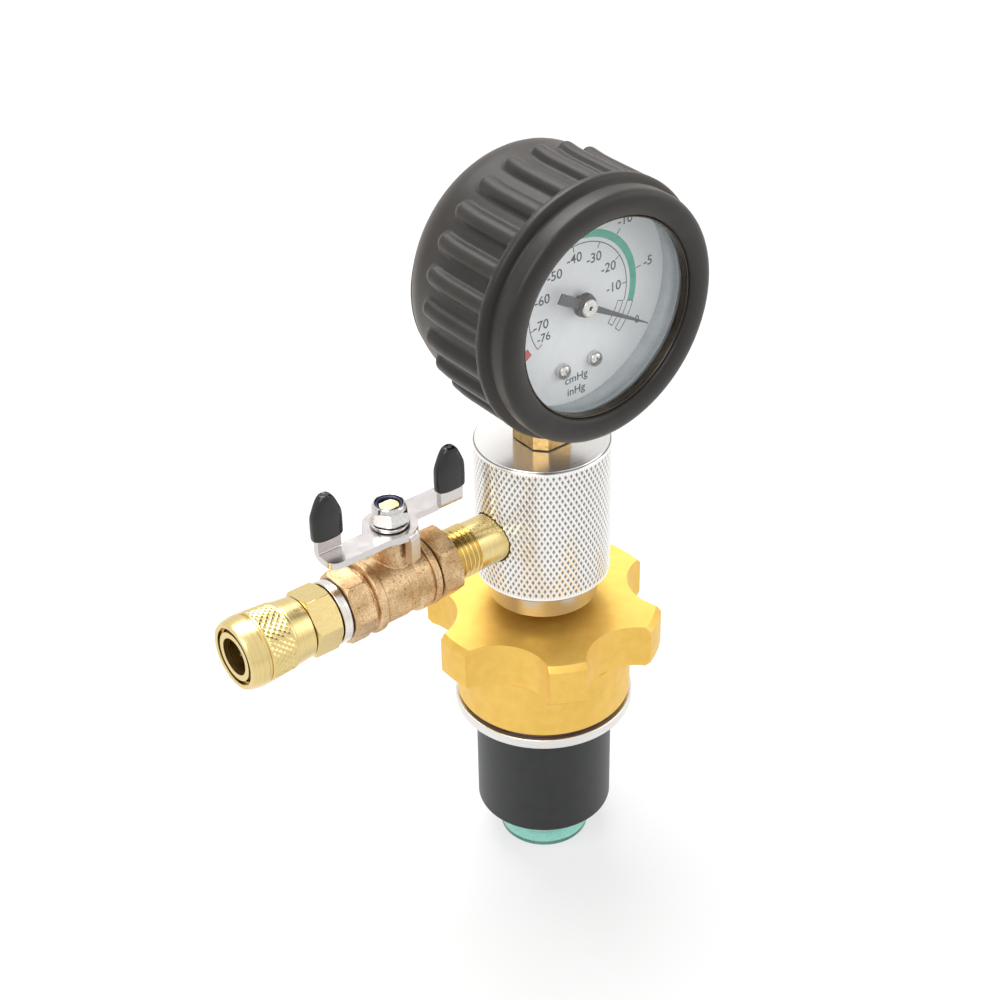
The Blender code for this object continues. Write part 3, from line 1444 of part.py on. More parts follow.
def make_boot():
    """The rubber boot: ribbed wall, shoulder ring, front lip and open back."""
    shoulder = BOOT_RADIUS - BOOT_BACK_RADIUS
    rings = [boot_ring(BOOT_BACK_HOLE, 0, -BOOT_BACK)]
    for k in range(BOOT_SHOULDER_STEPS + 1):
        turn = math.pi / 2 * k / BOOT_SHOULDER_STEPS
        radius = BOOT_BACK_RADIUS + shoulder * math.sin(turn)
        drop = BOOT_SHOULDER_DEPTH * (1 - math.cos(turn))
        rings.append(boot_ring(radius, 0, -BOOT_BACK + drop))
    start = max(-BOOT_RIB_REAR, -BOOT_BACK + BOOT_SHOULDER_DEPTH + WELD * 2)
    full = -BOOT_RIB_REAR + BOOT_RIB_RUN
    steps = BOOT_RIB_STEPS
    for k in range(steps + 1):
        depth = start + (full - start) * k / steps
        rise = math.sin(math.pi / 2 * k / steps)
        rings.append(boot_ring(BOOT_RADIUS, BOOT_RIB_HEIGHT * rise, depth))
    rings += [
        boot_ring(BOOT_RADIUS, BOOT_RIB_HEIGHT, BOOT_RIB_FRONT),
        boot_ring(BOOT_RING_RADIUS, 0, BOOT_RING_START),
        boot_ring(BOOT_RING_RADIUS, 0, BOOT_RING_END),
        boot_ring(BOOT_GROOVE_RADIUS, 0, BOOT_GROOVE_PLACE),
        boot_ring(BOOT_LIP_RADIUS, 0, BOOT_LIP_START),
        boot_ring(BOOT_LIP_RADIUS, 0, BOOT_LIP_END),
        boot_ring(BOOT_FRONT_RADIUS, 0, BOOT_FRONT),
        boot_ring(BOOT_INNER_EDGE, 0, BOOT_FRONT),
        boot_ring(BOOT_OPENING, 0, BOOT_FRONT - BOOT_OPENING_DEPTH),
    ]
    front, back = BEZEL_FRONT + GAP, -CASE_BACK - GAP
    rings.append(boot_ring(BOOT_OPENING, 0, (front + back) / 2))
    rings.append(boot_ring(BOOT_BACK_HOLE, 0, (front + back) / 2))
    boot = loft("gauge_boot", rings, GAUGE)
    cut(boot, rod("hollow", CASE_RADIUS + GAP, back, front, GAUGE, FINE_SIDES))
    near, far = BLOCK_DROP, BOOT_RING_RADIUS + BOOT_RIB_HEIGHT
    hole = rod("hole", BOOT_STEM_HOLE, near, far, downwards(GAUGE.translation))
    rubber(cut(boot, hole))


def make_tube():
    """The flattened pressure tube, bent in an arc from the block nearly round."""
    inner = TUBE_CIRCLE - TUBE_THICKNESS / 2
    outer = TUBE_CIRCLE + TUBE_THICKNESS / 2
    start = -math.acos((BLOCK_WIDTH / 2 + GAP) / inner)
    half = TUBE_DEPTH / 2
    outline = arc((0, 0), outer, start, TUBE_END, TUBE_STEPS)
    outline += arc((0, 0), inner, TUBE_END, start, TUBE_STEPS)
    brass(prism("bourdon_tube", outline, -half, half, GAUGE))


def make_plates():
    """The two plates of the movement and the pillars between them."""
    half = PLATE_WIDTH / 2
    gap_end = FRONT_PLATE_BACK
    back_bottom = -BLOCK_DROP - BACK_PLATE_FOOT
    front_bottom = -BLOCK_DROP + GAP
    back_ends = (BACK_PLATE_FRONT - PLATE_THICKNESS, BACK_PLATE_FRONT)
    front_ends = (gap_end, gap_end + PLATE_THICKNESS)
    for name, bottom, ends in (
        ("movement_back_plate", back_bottom, back_ends),
        ("movement_front_plate", front_bottom, front_ends),
    ):
        plate = box(name, (-half, half), (bottom, PLATE_TOP), ends, GAUGE)
        before, after = ends[0] - OVERRUN, ends[1] + OVERRUN
        arbor_hole, axle_hole = ARBOR_RADIUS + GAP, AXLE_RADIUS + GAP
        cut(
            plate,
            rod("arbor hole", arbor_hole, before, after, GAUGE, PIN_SIDES),
            rod("axle hole", axle_hole, before, after, SECTOR, PIN_SIDES),
        )
        brass(plate)
    for side, word in ((-1, "left"), (1, "right")):
        origin = (side * PILLAR_SPREAD, 0, GAUGE_Z + PILLAR_RISE)
        frame = frame_at(origin, (1, 0, 0), (0, 0, 1))
        bottom, top = BACK_PLATE_FRONT + GAP, gap_end - GAP
        pillar = rod(
            f"movement_pillar_{word}", PILLAR_RADIUS, bottom, top, frame, PIN_SIDES
        )
        brass(pillar)


def make_arbor():
    """The pointer's arbor with its pinion."""
    tail = BACK_PLATE_FRONT - PLATE_THICKNESS - ARBOR_TAIL
    pinion = PINION_PITCH - GAP / 2
    half = PINION_LENGTH / 2
    top = POINTER_BACK - GAP
    profile = [
        (0, tail),
        (ARBOR_RADIUS, tail),
        (ARBOR_RADIUS, -half),
        (pinion, -half),
        (pinion, half),
        (ARBOR_RADIUS, half),
        (ARBOR_RADIUS, top),
        (0, top),
    ]
    brass(lathe("pointer_arbor", profile, GAUGE, PIN_SIDES))


def make_sector():
    """The toothed sector with its axle and the tail that the link pulls."""
    rim = SECTOR_PITCH - GAP / 2
    half = SECTOR_THICKNESS / 2
    outline = [(0, 0)]
    end = SECTOR_START + SECTOR_SWEEP
    outline += arc((0, 0), rim, SECTOR_START, end, SECTOR_STEPS)
    sector = prism("sector_gear", outline, -half, half, SECTOR)
    tip = (
        SECTOR_TAIL * math.cos(SECTOR_TAIL_TURN),
        SECTOR_TAIL * math.sin(SECTOR_TAIL_TURN),
    )
    tail = prism("tail", slot_outline((0, 0), tip, SECTOR_ARM), -half, half, SECTOR)
    start = BACK_PLATE_FRONT - PLATE_THICKNESS
    stop = FRONT_PLATE_BACK + PLATE_THICKNESS
    axle = rod("axle", AXLE_RADIUS, start, stop, SECTOR, PIN_SIDES)
    brass(join(sector, tail, axle))


def slot_outline(first, last, radius):
    """A straight bar with round ends, between two centres."""
    turn = math.atan2(last[1] - first[1], last[0] - first[0])
    quarter = math.pi / 2
    outline = arc(last, radius, turn - quarter, turn + quarter, 6)
    return outline + arc(first, radius, turn + quarter, turn + 3 * quarter, 6)


def make_link():
    """The short bar between the pressure tube's tip and the sector's tail."""
    reach = TUBE_CIRCLE - TUBE_THICKNESS / 2 - GAP - LINK_RADIUS
    first = (reach * math.cos(TUBE_END), reach * math.sin(TUBE_END))
    last = (
        SECTOR_TAIL * math.cos(SECTOR_TAIL_TURN),
        SECTOR_TAIL * math.sin(SECTOR_TAIL_TURN) - SECTOR_DROP,
    )
    bottom = SECTOR_THICKNESS / 2 + GAP
    top = bottom + LINK_THICKNESS
    outline = slot_outline(first, last, LINK_RADIUS)
    brass(prism("link_bar", outline, bottom, top, GAUGE))


def make_pointer():
    """The pointer at zero, with its hub, and the bright cap on the arbor."""
    tail, waist, tip = (
        POINTER_TAIL_WIDTH / 2,
        POINTER_WAIST_WIDTH / 2,
        POINTER_TIP_WIDTH / 2,
    )
    outline = [
        (-POINTER_TAIL, -tail),
        (0, -tail),
        (HUB_RADIUS, -waist),
        (POINTER_REACH, -tip),
        (POINTER_REACH, tip),
        (HUB_RADIUS, waist),
        (0, tail),
        (-POINTER_TAIL, tail),
    ]
    cosine, sine = math.cos(POINTER_ZERO), math.sin(POINTER_ZERO)
    turned = [(x * cosine - y * sine, x * sine + y * cosine) for x, y in outline]
    top = POINTER_BACK + POINTER_THICKNESS
    pointer = prism("pointer", turned, POINTER_BACK, top, GAUGE)
    hub_top = POINTER_BACK + HUB_HEIGHT
    hub = rod("hub", HUB_RADIUS, POINTER_BACK, hub_top, GAUGE, SMALL_SIDES)
    finish(join(pointer, hub), (0.10, 0.10, 0.11), 0, 0.4)
    cap_bottom = hub_top + GAP
    cap_top = cap_bottom + CAP_HEIGHT
    profile = [
        (0, cap_bottom),
        (CAP_RADIUS, cap_bottom),
        (CAP_RADIUS, cap_top),
        (CAP_HOLE, cap_top),
        (0, cap_top - CAP_HEIGHT / 2),
    ]
    steel(lathe("pointer_hub", profile, GAUGE, SMALL_SIDES))


def main():
    """Clear the scene and build every piece."""
    for obj in list(bpy.data.objects):
        bpy.data.objects.remove(obj, do_unlink=True)
    make_cone()
    make_end_ring()
    make_spindle()
    make_flange()
    make_knob()
    make_body()
    make_nipple()
    make_end_piece()
    make_valve_body()
    make_ball()
    make_seats()
    make_stem()
    make_handle()
    make_grip("handle_grip_left", -1)
    make_grip("handle_grip_right", 1)
    make_nut()
    make_adapter()
    make_coupler_body()
    make_coupler_parts()
    make_coupler_sleeve()
    make_gauge_socket()
    make_case()
    make_front()
    make_dial()
    make_boot()
    make_tube()
    make_plates()
    make_arbor()
    make_sector()
    make_link()
    make_pointer()


main()
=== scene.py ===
import math

import bmesh
import bpy
from mathutils import Matrix, Vector


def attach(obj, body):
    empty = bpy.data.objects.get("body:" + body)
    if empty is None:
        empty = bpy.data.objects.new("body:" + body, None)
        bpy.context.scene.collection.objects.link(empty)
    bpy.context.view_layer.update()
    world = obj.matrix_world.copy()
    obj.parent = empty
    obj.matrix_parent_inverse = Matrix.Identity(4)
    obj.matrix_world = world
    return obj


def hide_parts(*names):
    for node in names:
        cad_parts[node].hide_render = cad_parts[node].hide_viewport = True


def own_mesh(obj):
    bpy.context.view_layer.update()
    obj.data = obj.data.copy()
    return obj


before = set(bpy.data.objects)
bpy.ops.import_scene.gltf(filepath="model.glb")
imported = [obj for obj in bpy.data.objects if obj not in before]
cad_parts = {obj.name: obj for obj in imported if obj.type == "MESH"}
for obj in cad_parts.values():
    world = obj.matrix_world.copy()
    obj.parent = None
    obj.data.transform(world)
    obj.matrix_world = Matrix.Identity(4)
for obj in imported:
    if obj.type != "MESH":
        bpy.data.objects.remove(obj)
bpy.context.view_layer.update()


# Rubber sleeve: the plain tube of black nitrile rubber that swells in the filler neck
# when the knob squeezes it. It is moulded, cut square at both ends and pushed over the
# spindle. It gets shorter as the flange comes down, but here it keeps one shape.
MM = 0.001
FINE_STEPS = 128


def turned(outline, steps=FINE_STEPS):
    """Spin an outline of (radius, height) pairs in mm once round the Z axis."""
    mesh = bmesh.new()
    points = [mesh.verts.new((radius * MM, 0, height * MM)) for radius, height in outline]
    lines = []
    for first, second in zip(points, points[1:] + points[:1]):
        if first.co.x > 0 or second.co.x > 0:
            lines.append(mesh.edges.new((first, second)))
    bmesh.ops.spin(
        mesh, geom=points + lines, axis=(0, 0, 1), cent=(0, 0, 0),
        angle=math.tau, steps=steps, use_merge=True,
    )
    bmesh.ops.remove_doubles(mesh, verts=mesh.verts, dist=0.001 * MM)
    bmesh.ops.recalc_face_normals(mesh, faces=mesh.faces)
    return mesh


def eased(mesh, width, sharper_than=28, segments=2):
    """Round the edges that are sharper than an angle in degrees, by a width in mm."""
    limit = math.radians(sharper_than)
    edges = [e for e in mesh.edges if e.is_manifold and e.calc_face_angle() > limit]
    bmesh.ops.bevel(
        mesh, geom=edges, offset=width * MM, offset_type="OFFSET", affect="EDGES",
        segments=segments, profile=0.5, material=-1, clamp_overlap=True,
    )
    return mesh


def placed(name, mesh, material, place=Matrix(), smooth_below=50):
    """Make a piece of a mesh: its place goes into the mesh, its object stays at the origin."""
    bmesh.ops.transform(mesh, matrix=place, verts=mesh.verts)
    bmesh.ops.recalc_face_normals(mesh, faces=mesh.faces)
    data = bpy.data.meshes.new(name)
    mesh.to_mesh(data)
    mesh.free()
    data.shade_smooth()
    data.set_sharp_from_angle(angle=math.radians(smooth_below))
    data.materials.append(material)
    piece = bpy.data.objects.new(name, data)
    bpy.context.scene.collection.objects.link(piece)
    piece.modifiers.new("flat faces stay flat", "WEIGHTED_NORMAL").keep_sharp = True
    return piece


def linear(code):
    """An sRGB hex colour as the linear colour that a shader takes."""
    shares = [int(code[i : i + 2], 16) / 255 for i in (0, 2, 4)]
    return [s / 12.92 if s <= 0.04045 else ((s + 0.055) / 1.055) ** 2.4 for s in shares] + [1]


def finish(name, code, metallic, roughness):
    """A new material with its main shader's colour, metallic value and roughness."""
    material = bpy.data.materials.new(name)
    material.use_nodes = True
    shader = material.node_tree.nodes["Principled BSDF"]
    shader.inputs["Base Color"].default_value = linear(code)
    shader.inputs["Metallic"].default_value = metallic
    shader.inputs["Roughness"].default_value = roughness
    return material, shader


def add(material, kind, feeds=None, to=None, out=0, **settings):
    """Add a node: its settings, what feeds its sockets, and the socket that it goes to."""
    made = material.node_tree.nodes.new("ShaderNode" + kind)
    for key, value in settings.items():
        setattr(made, key, value)
    for key, value in (feeds or {}).items():
        if isinstance(value, bpy.types.NodeSocket):
            material.node_tree.links.new(value, made.inputs[key])
        else:
            made.inputs[key].default_value = linear(value) if isinstance(value, str) else value
    if to:
        material.node_tree.links.new(made.outputs[out], to)
    return made.outputs[out]


def mottled(material, shader, dark, light, grain, roughness, bump):
    """Let a grain in mm vary a surface: its colour, its roughness and its height."""
    point = add(material, "TexCoord", out="Object")
    size = 1 / (grain * MM)
    fine = add(material, "TexNoise", {"Vector": point, "Scale": size, "Detail": 5})
    broad = add(material, "TexNoise", {"Vector": point, "Scale": size / 14, "Detail": 3})
    both = add(material, "Math", {0: fine, 1: broad}, operation="MULTIPLY")
    share = add(material, "MapRange", {"Value": both, "From Min": 0.14, "From Max": 0.36})
    add(
        material, "Mix", {0: share, 6: dark, 7: light},
        shader.inputs["Base Color"], out=2, data_type="RGBA",
    )
    low, high = roughness
    add(
        material, "MapRange",
        {"Value": fine, "From Min": 0.3, "From Max": 0.7, "To Min": low, "To Max": high},
        shader.inputs["Roughness"],
    )
    add(
        material, "Bump", {"Height": fine, "Strength": 1, "Distance": bump * MM},
        shader.inputs["Normal"],
    )


rubber, shader = finish("moulded nitrile rubber", "3C3C40", 0, 0.6)
# Nitrile rubber as it leaves the mould: near black, even, with a dull broad shine and
# a dusting of paler marks. The grain is drawn at 0.25 mm.
mottled(rubber, shader, "18191B", "212225", 0.25, (0.38, 0.48), 0.003)

SLEEVE_BOTTOM = -34.2
SLEEVE_TOP = -0.3
sleeve = turned(
    [(6.7, SLEEVE_BOTTOM), (18.35, SLEEVE_BOTTOM), (18.35, SLEEVE_TOP), (6.7, SLEEVE_TOP)]
)
sleeve = placed("expander_sleeve", eased(sleeve, 0.5), rubber)
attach(sleeve, "filler")
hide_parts("rubber_sleeve")
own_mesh(sleeve)


# Flange, lower washer and end nut: turned from bare aluminium bar. The flange presses
# on the rubber from above, and the washer and the round nut hold it from below.
def turning_marks(material, shader, pitch, depth, roughness, axis="Z", centre=(0, 0, 0)):
    """The fine rings that a lathe tool leaves round an axis, on walls and on faces."""
    turn = {"X": (0, math.pi / 2, 0), "Y": (math.pi / 2, 0, 0), "Z": (0, 0, 0)}[axis]
    point = add(
        material, "Mapping",
        {"Vector": add(material, "TexCoord", out="Object"), "Location": centre, "Rotation": turn},
        vector_type="TEXTURE",
    )
    flat = add(material, "VectorMath", {0: point, 1: (1, 1, 0)}, operation="MULTIPLY")
    radius = add(material, "VectorMath", {0: flat}, out="Value", operation="LENGTH")
    height = add(material, "SeparateXYZ", {0: point}, out="Z")
    rings = add(material, "CombineXYZ", {"X": radius, "Y": height})
    cut = add(
        material, "TexNoise",
        {"Vector": rings, "Scale": 1 / (pitch * MM), "Detail": 4}, noise_dimensions="2D",
    )
    low, high = roughness
    add(
        material, "MapRange",
        {"Value": cut, "From Min": 0.3, "From Max": 0.7, "To Min": low, "To Max": high},
        shader.inputs["Roughness"],
    )
    add(
        material, "Bump", {"Height": cut, "Strength": 1, "Distance": depth * MM},
        shader.inputs["Normal"],
    )
    return cut


def tinted(material, shader, share, dark, light):
    """Let a share between 0.3 and 0.7 tint the surface from a dark colour to a light one."""
    spread = add(material, "MapRange", {"Value": share, "From Min": 0.3, "From Max": 0.7})
    add(
        material, "Mix", {0: spread, 6: dark, 7: light},
        shader.inputs["Base Color"], out=2, data_type="RGBA",
    )


aluminium, shader = finish("turned aluminium", "E2E0DD", 1, 0.3)
# Bare aluminium off the lathe: silvery white, with feed marks every 0.12 mm that pull
# its shine into streaks round the axis.
cut = turning_marks(aluminium, shader, 0.12, 0.004, (0.24, 0.38))
tinted(aluminium, shader, cut, "D8D5D1", "ECEAE8")

flange = turned([(6.3, 0), (23.9, 0), (23.9, 2.9), (6.3, 2.9)])
washer = turned([(6.3, -36.3), (16, -36.3), (16, -34.5), (6.3, -34.5)])
nut = turned([(6.3, -43.7), (8.8, -43.7), (8.8, -36.6), (6.3, -36.6)])
for name, mesh, edge, body, node in (
    ("pressure_flange", flange, 0.35, "flange", "compression_flange"),
    ("seal_washer", washer, 0.2, "filler", "lower_washer"),
    ("round_end_nut", nut, 0.4, "filler", "end_nut"),
):
    piece = placed(name, eased(mesh, edge), aluminium)
    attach(piece, body)
    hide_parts(node)


# End ring: a clear green plastic ring whose spigot is pushed into the spindle's bore.
# It is moulded, so its edges are soft and light goes through its rim.
clear_green, shader = finish("clear green polypropylene", "B8F5E8", 0, 0.1)
# Translucent plastic: the eye sees the pale floor through it, so it glows at its rim.
shader.inputs["Transmission Weight"].default_value = 0.85
shader.inputs["IOR"].default_value = 1.49
mottled(clear_green, shader, "A6F0E0", "C8FAF0", 1.6, (0.05, 0.14), 0.006)

ring = turned(
    [(2.4, -45.25), (12.2, -45.25), (12.2, -44.0), (3.2, -44.0), (3.2, -38.0), (2.4, -38.0)]
)
ring = placed("outlet_ring", eased(ring, 0.3), clear_green)
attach(ring, "filler")
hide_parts("end_ring")


# Spindle: a hollow brass screw from the end nut up into the body. Its thread shows in
# the gap between the knob and the neck, so it has real turns of 1.5 mm.
def thread(inner, root, crest, start, end, pitch, steps=96):
    """A hollow screw in mm: a toothed line spun along a helix and cut square at its ends."""
    mesh = bmesh.new()
    count = int((end - start) / pitch) + 3
    line = []
    for k in range(count):
        base = start + (k - 1.5) * pitch
        for radius, share in ((root, 0), (crest, 0.35), (crest, 0.5), (root, 0.85)):
            line.append(mesh.verts.new((radius * MM, 0, (base + share * pitch) * MM)))
    edges = [mesh.edges.new(pair) for pair in zip(line, line[1:])]
    bmesh.ops.spin(
        mesh, geom=line + edges, axis=(0, 0, 1), cent=(0, 0, 0), angle=math.tau,
        steps=steps, dvec=(0, 0, pitch * MM / steps),
    )
    bmesh.ops.remove_doubles(mesh, verts=mesh.verts, dist=0.002 * MM)
    for height, outwards in ((start, -1), (end, 1)):
        bmesh.ops.bisect_plane(
            mesh, geom=mesh.verts[:] + mesh.edges[:] + mesh.faces[:], dist=0.001 * MM,
            plane_co=(0, 0, height * MM), plane_no=(0, 0, outwards), clear_outer=True,
        )
    for height in (start, end):
        rim = [
            e for e in mesh.edges
            if e.is_boundary and abs(e.verts[0].co.z - height * MM) < 0.01 * MM
        ]
        face_ring = bmesh.ops.extrude_edge_only(mesh, edges=rim)["geom"]
        for vert in (g for g in face_ring if isinstance(g, bmesh.types.BMVert)):
            vert.co.xy *= inner * MM / vert.co.xy.length
    bmesh.ops.remove_doubles(mesh, verts=mesh.verts, dist=0.002 * MM)
    rims = [e for e in mesh.edges if e.is_boundary]
    bmesh.ops.bridge_loops(mesh, edges=rims)
    bmesh.ops.recalc_face_normals(mesh, faces=mesh.faces)
    return mesh


brass, shader = finish("machined brass on the tube's axis", "E6C66A", 1, 0.25)
# Yellow brass straight from the cutter: warm and bright, with turning marks at 0.1 mm
# and a slight brown bloom where it was handled.
cut = turning_marks(brass, shader, 0.1, 0.002, (0.18, 0.28))
tinted(brass, shader, cut, "CBA766", "DFC084")

spindle = placed("spindle_screw", thread(3.5, 5.3, 6.0, -43.4, 49.7, 1.5), brass)
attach(spindle, "filler")
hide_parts("spindle_tube")


# Thrust washer: a dark brown plastic ring between the flange and the knob, which lets
# the knob turn without dragging the rubber round.
nylon, shader = finish("oiled brown nylon", "4A2E22", 0, 0.4)
# Nylon soaked in oil: dark, slightly glossy, with a fine even grain.
mottled(nylon, shader, "3A2219", "5A3829", 0.3, (0.3, 0.5), 0.004)
washer = turned(
    [(7.0, 2.95), (22.5, 2.95), (22.5, 3.9), (16.9, 3.9), (16.9, 5.0), (7.0, 5.0)]
)
washer = placed("knob_thrust_washer", eased(washer, 0.15), nylon)
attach(washer, "flange")
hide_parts("thrust_washer")


# Star knob: aluminium, turned with its skirt and the bevels of its tips, then milled
# with six scallops, deburred, blasted fine and anodised gold.
def worked(mesh, kind, tool=None, **settings):
    """Run one of Blender's modifiers on a mesh, with a second mesh as its tool if it has one."""
    pair = []
    for source in (mesh, tool) if tool else (mesh,):
        data = bpy.data.meshes.new("blank")
        source.to_mesh(data)
        source.free()
        pair.append(bpy.data.objects.new("blank", data))
        bpy.context.scene.collection.objects.link(pair[-1])
    modifier = pair[0].modifiers.new("work", kind)
    if tool:
        modifier.object = pair[1]
    for key, value in settings.items():
        setattr(modifier, key, value)
    bpy.context.view_layer.update()
    result = bmesh.new()
    result.from_object(pair[0], bpy.context.evaluated_depsgraph_get())
    for blank in pair:
        data = blank.data
        bpy.data.objects.remove(blank)
        bpy.data.meshes.remove(data)
    return result


def carved(mesh, tool, operation="DIFFERENCE"):
    """Cut a closed mesh with another, or join them, and merge what lies flat."""
    for source in (mesh, tool):
        bmesh.ops.triangulate(source, faces=source.faces)
        bmesh.ops.recalc_face_normals(source, faces=source.faces)
    result = worked(mesh, "BOOLEAN", tool, operation=operation, solver="EXACT")
    bmesh.ops.remove_doubles(result, verts=result.verts, dist=0.001 * MM)
    bmesh.ops.dissolve_limit(
        result, angle_limit=math.radians(0.4), verts=result.verts, edges=result.edges,
        use_dissolve_boundaries=False,
    )
    return result


gold, shader = finish("gold anodised aluminium", "F2C45E", 0.75, 0.46)
# Dye under a clear hard oxide over finely blasted metal: an even satin gold with broad
# soft reflections and hardly any grain.
mottled(gold, shader, "E9BD5A", "F1C868", 0.22, (0.42, 0.5), 0.002)

knob = turned(
    [
        (17.2, 4.0), (22.9, 4.0), (23.3, 4.4), (23.3, 20.2), (30.2, 20.2), (31.4, 21.4),
        (31.4, 31.2), (30.0, 32.6), (6.3, 32.6), (6.3, 5.3), (17.2, 5.3),
    ],
    steps=180,
)
SCALLOP_RADIUS = 13.4
SCALLOP_CENTRES = 36.5
SCALLOP_HEIGHT = 30
CUTTER_LENGTH = 20.2
scallops = bmesh.new()
for k in range(6):
    cutter = Matrix.Rotation(math.radians(32.4 + 60 * k), 4, "Z")
    cutter = cutter @ Matrix.Translation((SCALLOP_CENTRES * MM, 0, SCALLOP_HEIGHT * MM))
    bmesh.ops.create_cone(
        scallops, cap_ends=True, segments=96, radius1=SCALLOP_RADIUS * MM,
        radius2=SCALLOP_RADIUS * MM, depth=CUTTER_LENGTH * MM, matrix=cutter,
    )
knob = carved(knob, scallops)
knob = placed("star_handwheel", eased(knob, 0.22, 30), gold, smooth_below=40)
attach(knob, "knob")
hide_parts("star_knob")


# Knurled body: turned from aluminium bar, with a smooth neck, a diamond knurl rolled on
# its barrel for the hand, a faced top, a chamber inside and a drilled side port.
def knurled(mesh, low, high, around, tall, depth):
    """Roll a diamond knurl between two heights in mm: crossing ridges with pits between.

    It has so many pits around, and each pit is so tall and so deep in mm.
    """
    step = math.tau / (4 * around)
    row = tall * MM / 4
    last_row = round((high - low) * MM / row)
    outside = max(vert.co.xy.length for vert in mesh.verts) * 0.85
    on_knurl = {}
    for vert in mesh.verts:
        rise = (vert.co.z - low * MM) / row
        if vert.co.xy.length > outside and -0.01 < rise < last_row + 0.01:
            on_knurl[vert] = (round(math.atan2(vert.co.y, vert.co.x) / step), round(rise))
    for face in [f for f in mesh.faces if len(f.verts) == 4 and all(v in on_knurl for v in f.verts)]:
        even = [v for v in face.verts if sum(on_knurl[v]) % 2 == 0]
        if len(even) == 2:
            bmesh.utils.face_split(face, even[0], even[1])
    for vert, (turn, rise) in on_knurl.items():
        ridge = max(abs(2 * ((share / 4) % 1) - 1) for share in (turn + rise, turn - rise))
        if 0 < rise < last_row:
            vert.co.xy *= 1 - depth * MM * (1 - ridge) / vert.co.xy.length
    return mesh


KNURL_BOTTOM = 43.8
KNURL_TOP = 81.9
barrel_rows = 56
knurl_row = (KNURL_TOP - KNURL_BOTTOM) / barrel_rows
outline = [(6.3, 36.14), (14.0, 36.14), (14.39, 36.5), (14.39, 43.2), (17.0, 43.2)]
outline += [(17.5, KNURL_BOTTOM + knurl_row * k) for k in range(barrel_rows + 1)]
outline += [(16.9, 82.5), (6.3, 82.5), (6.3, 70.0), (9.0, 70.0), (9.0, 50.0), (6.3, 50.0)]
body = turned(outline, steps=288)
knurled(body, KNURL_BOTTOM, KNURL_TOP, 72, knurl_row * 4, 0.38)

VALVE_HEIGHT = 59.09
PIPE = Matrix(((0, 0, -1, 0), (-1, 0, 0, 0), (0, 1, 0, VALVE_HEIGHT * MM), (0, 0, 0, 1)))
port = turned([(0, 4.5), (6.8, 4.5), (6.8, 18.5), (0, 18.5)], steps=96)
bmesh.ops.transform(port, matrix=PIPE, verts=port.verts)
for source in (body, port):
    bmesh.ops.triangulate(source, faces=[f for f in source.faces if len(f.verts) > 3])
body = worked(body, "BOOLEAN", port, operation="DIFFERENCE", solver="EXACT")

BARREL_STARTS = 17.05
RIDGE_FOOT = 17.42
PIT_FLOOR = 17.18
NECK_TOP = 43.3
rolled, shader = finish("rolled aluminium", "F2F0EE", 0.75, 0.25)
# The same aluminium after the knurling rollers: bright pressed ridges, pits darkened towards
# their floors with painted shade, a bright top face and a neck with a painted warm reflection.
cut = turning_marks(rolled, shader, 0.12, 0.001, (0.14, 0.26))
flat = add(
    rolled, "VectorMath", {0: add(rolled, "TexCoord", out="Object"), 1: (1, 1, 0)},
    operation="MULTIPLY",
)
radius = add(rolled, "VectorMath", {0: flat}, out="Value", operation="LENGTH")
# Painted shade: the pits turn dark grey (3C3A38) the deeper they go.
deep = add(
    rolled, "MapRange",
    {"Value": radius, "From Min": RIDGE_FOOT * MM, "From Max": PIT_FLOOR * MM, "To Max": 0.85},
)
barrel = add(rolled, "Math", {0: radius, 1: BARREL_STARTS * MM}, operation="GREATER_THAN")
pits = add(rolled, "Math", {0: deep, 1: barrel}, operation="MULTIPLY")
height = add(rolled, "SeparateXYZ", {0: add(rolled, "TexCoord", out="Object")}, out="Z")
# Painted reflection: below the neck's top the metal is darkened and warmed (C6BDAD) as if it
# mirrored the gold knob.
painted_neck_reflection = add(rolled, "Math", {0: height, 1: NECK_TOP * MM}, operation="LESS_THAN")
metal_with_neck_reflection = add(rolled, "Mix", {0: painted_neck_reflection, 6: "FBF8F5", 7: "C6BDAD"}, out=2, data_type="RGBA")
add(
    rolled, "Mix", {0: pits, 6: metal_with_neck_reflection, 7: "3C3A38"},
    shader.inputs["Base Color"], out=2, data_type="RGBA",
)
body = placed("knurled_barrel", body, rolled, smooth_below=24)
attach(body, "filler")
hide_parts("knurled_body")


# Side nipple: brass, turned plain where it leaves the body and cut with a 1.34 mm pipe
# thread where it screws into the valve.
side_brass, shader = finish("machined brass on the valve's axis", "E8C968", 1, 0.18)
# The same yellow brass, cut round the valve's axis: bright between marks at 0.14 mm.
cut = turning_marks(
    side_brass, shader, 0.14, 0.001, (0.2, 0.28), "X", (0, 0, VALVE_HEIGHT * MM)
)
tinted(side_brass, shader, cut, "DCC280", "E7D298")

nipple = turned([(3.5, 10.3), (6.5, 10.3), (6.5, 24.6), (3.5, 24.6)])
nipple = placed("side_nipple", eased(nipple, 0.12), side_brass, PIPE)
screw = placed("nipple_thread", thread(3.5, 5.95, 6.75, 24.5, 36.3, 1.34), side_brass, PIPE)
for piece in (nipple, screw):
    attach(piece, "filler")
    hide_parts("port_nipple")


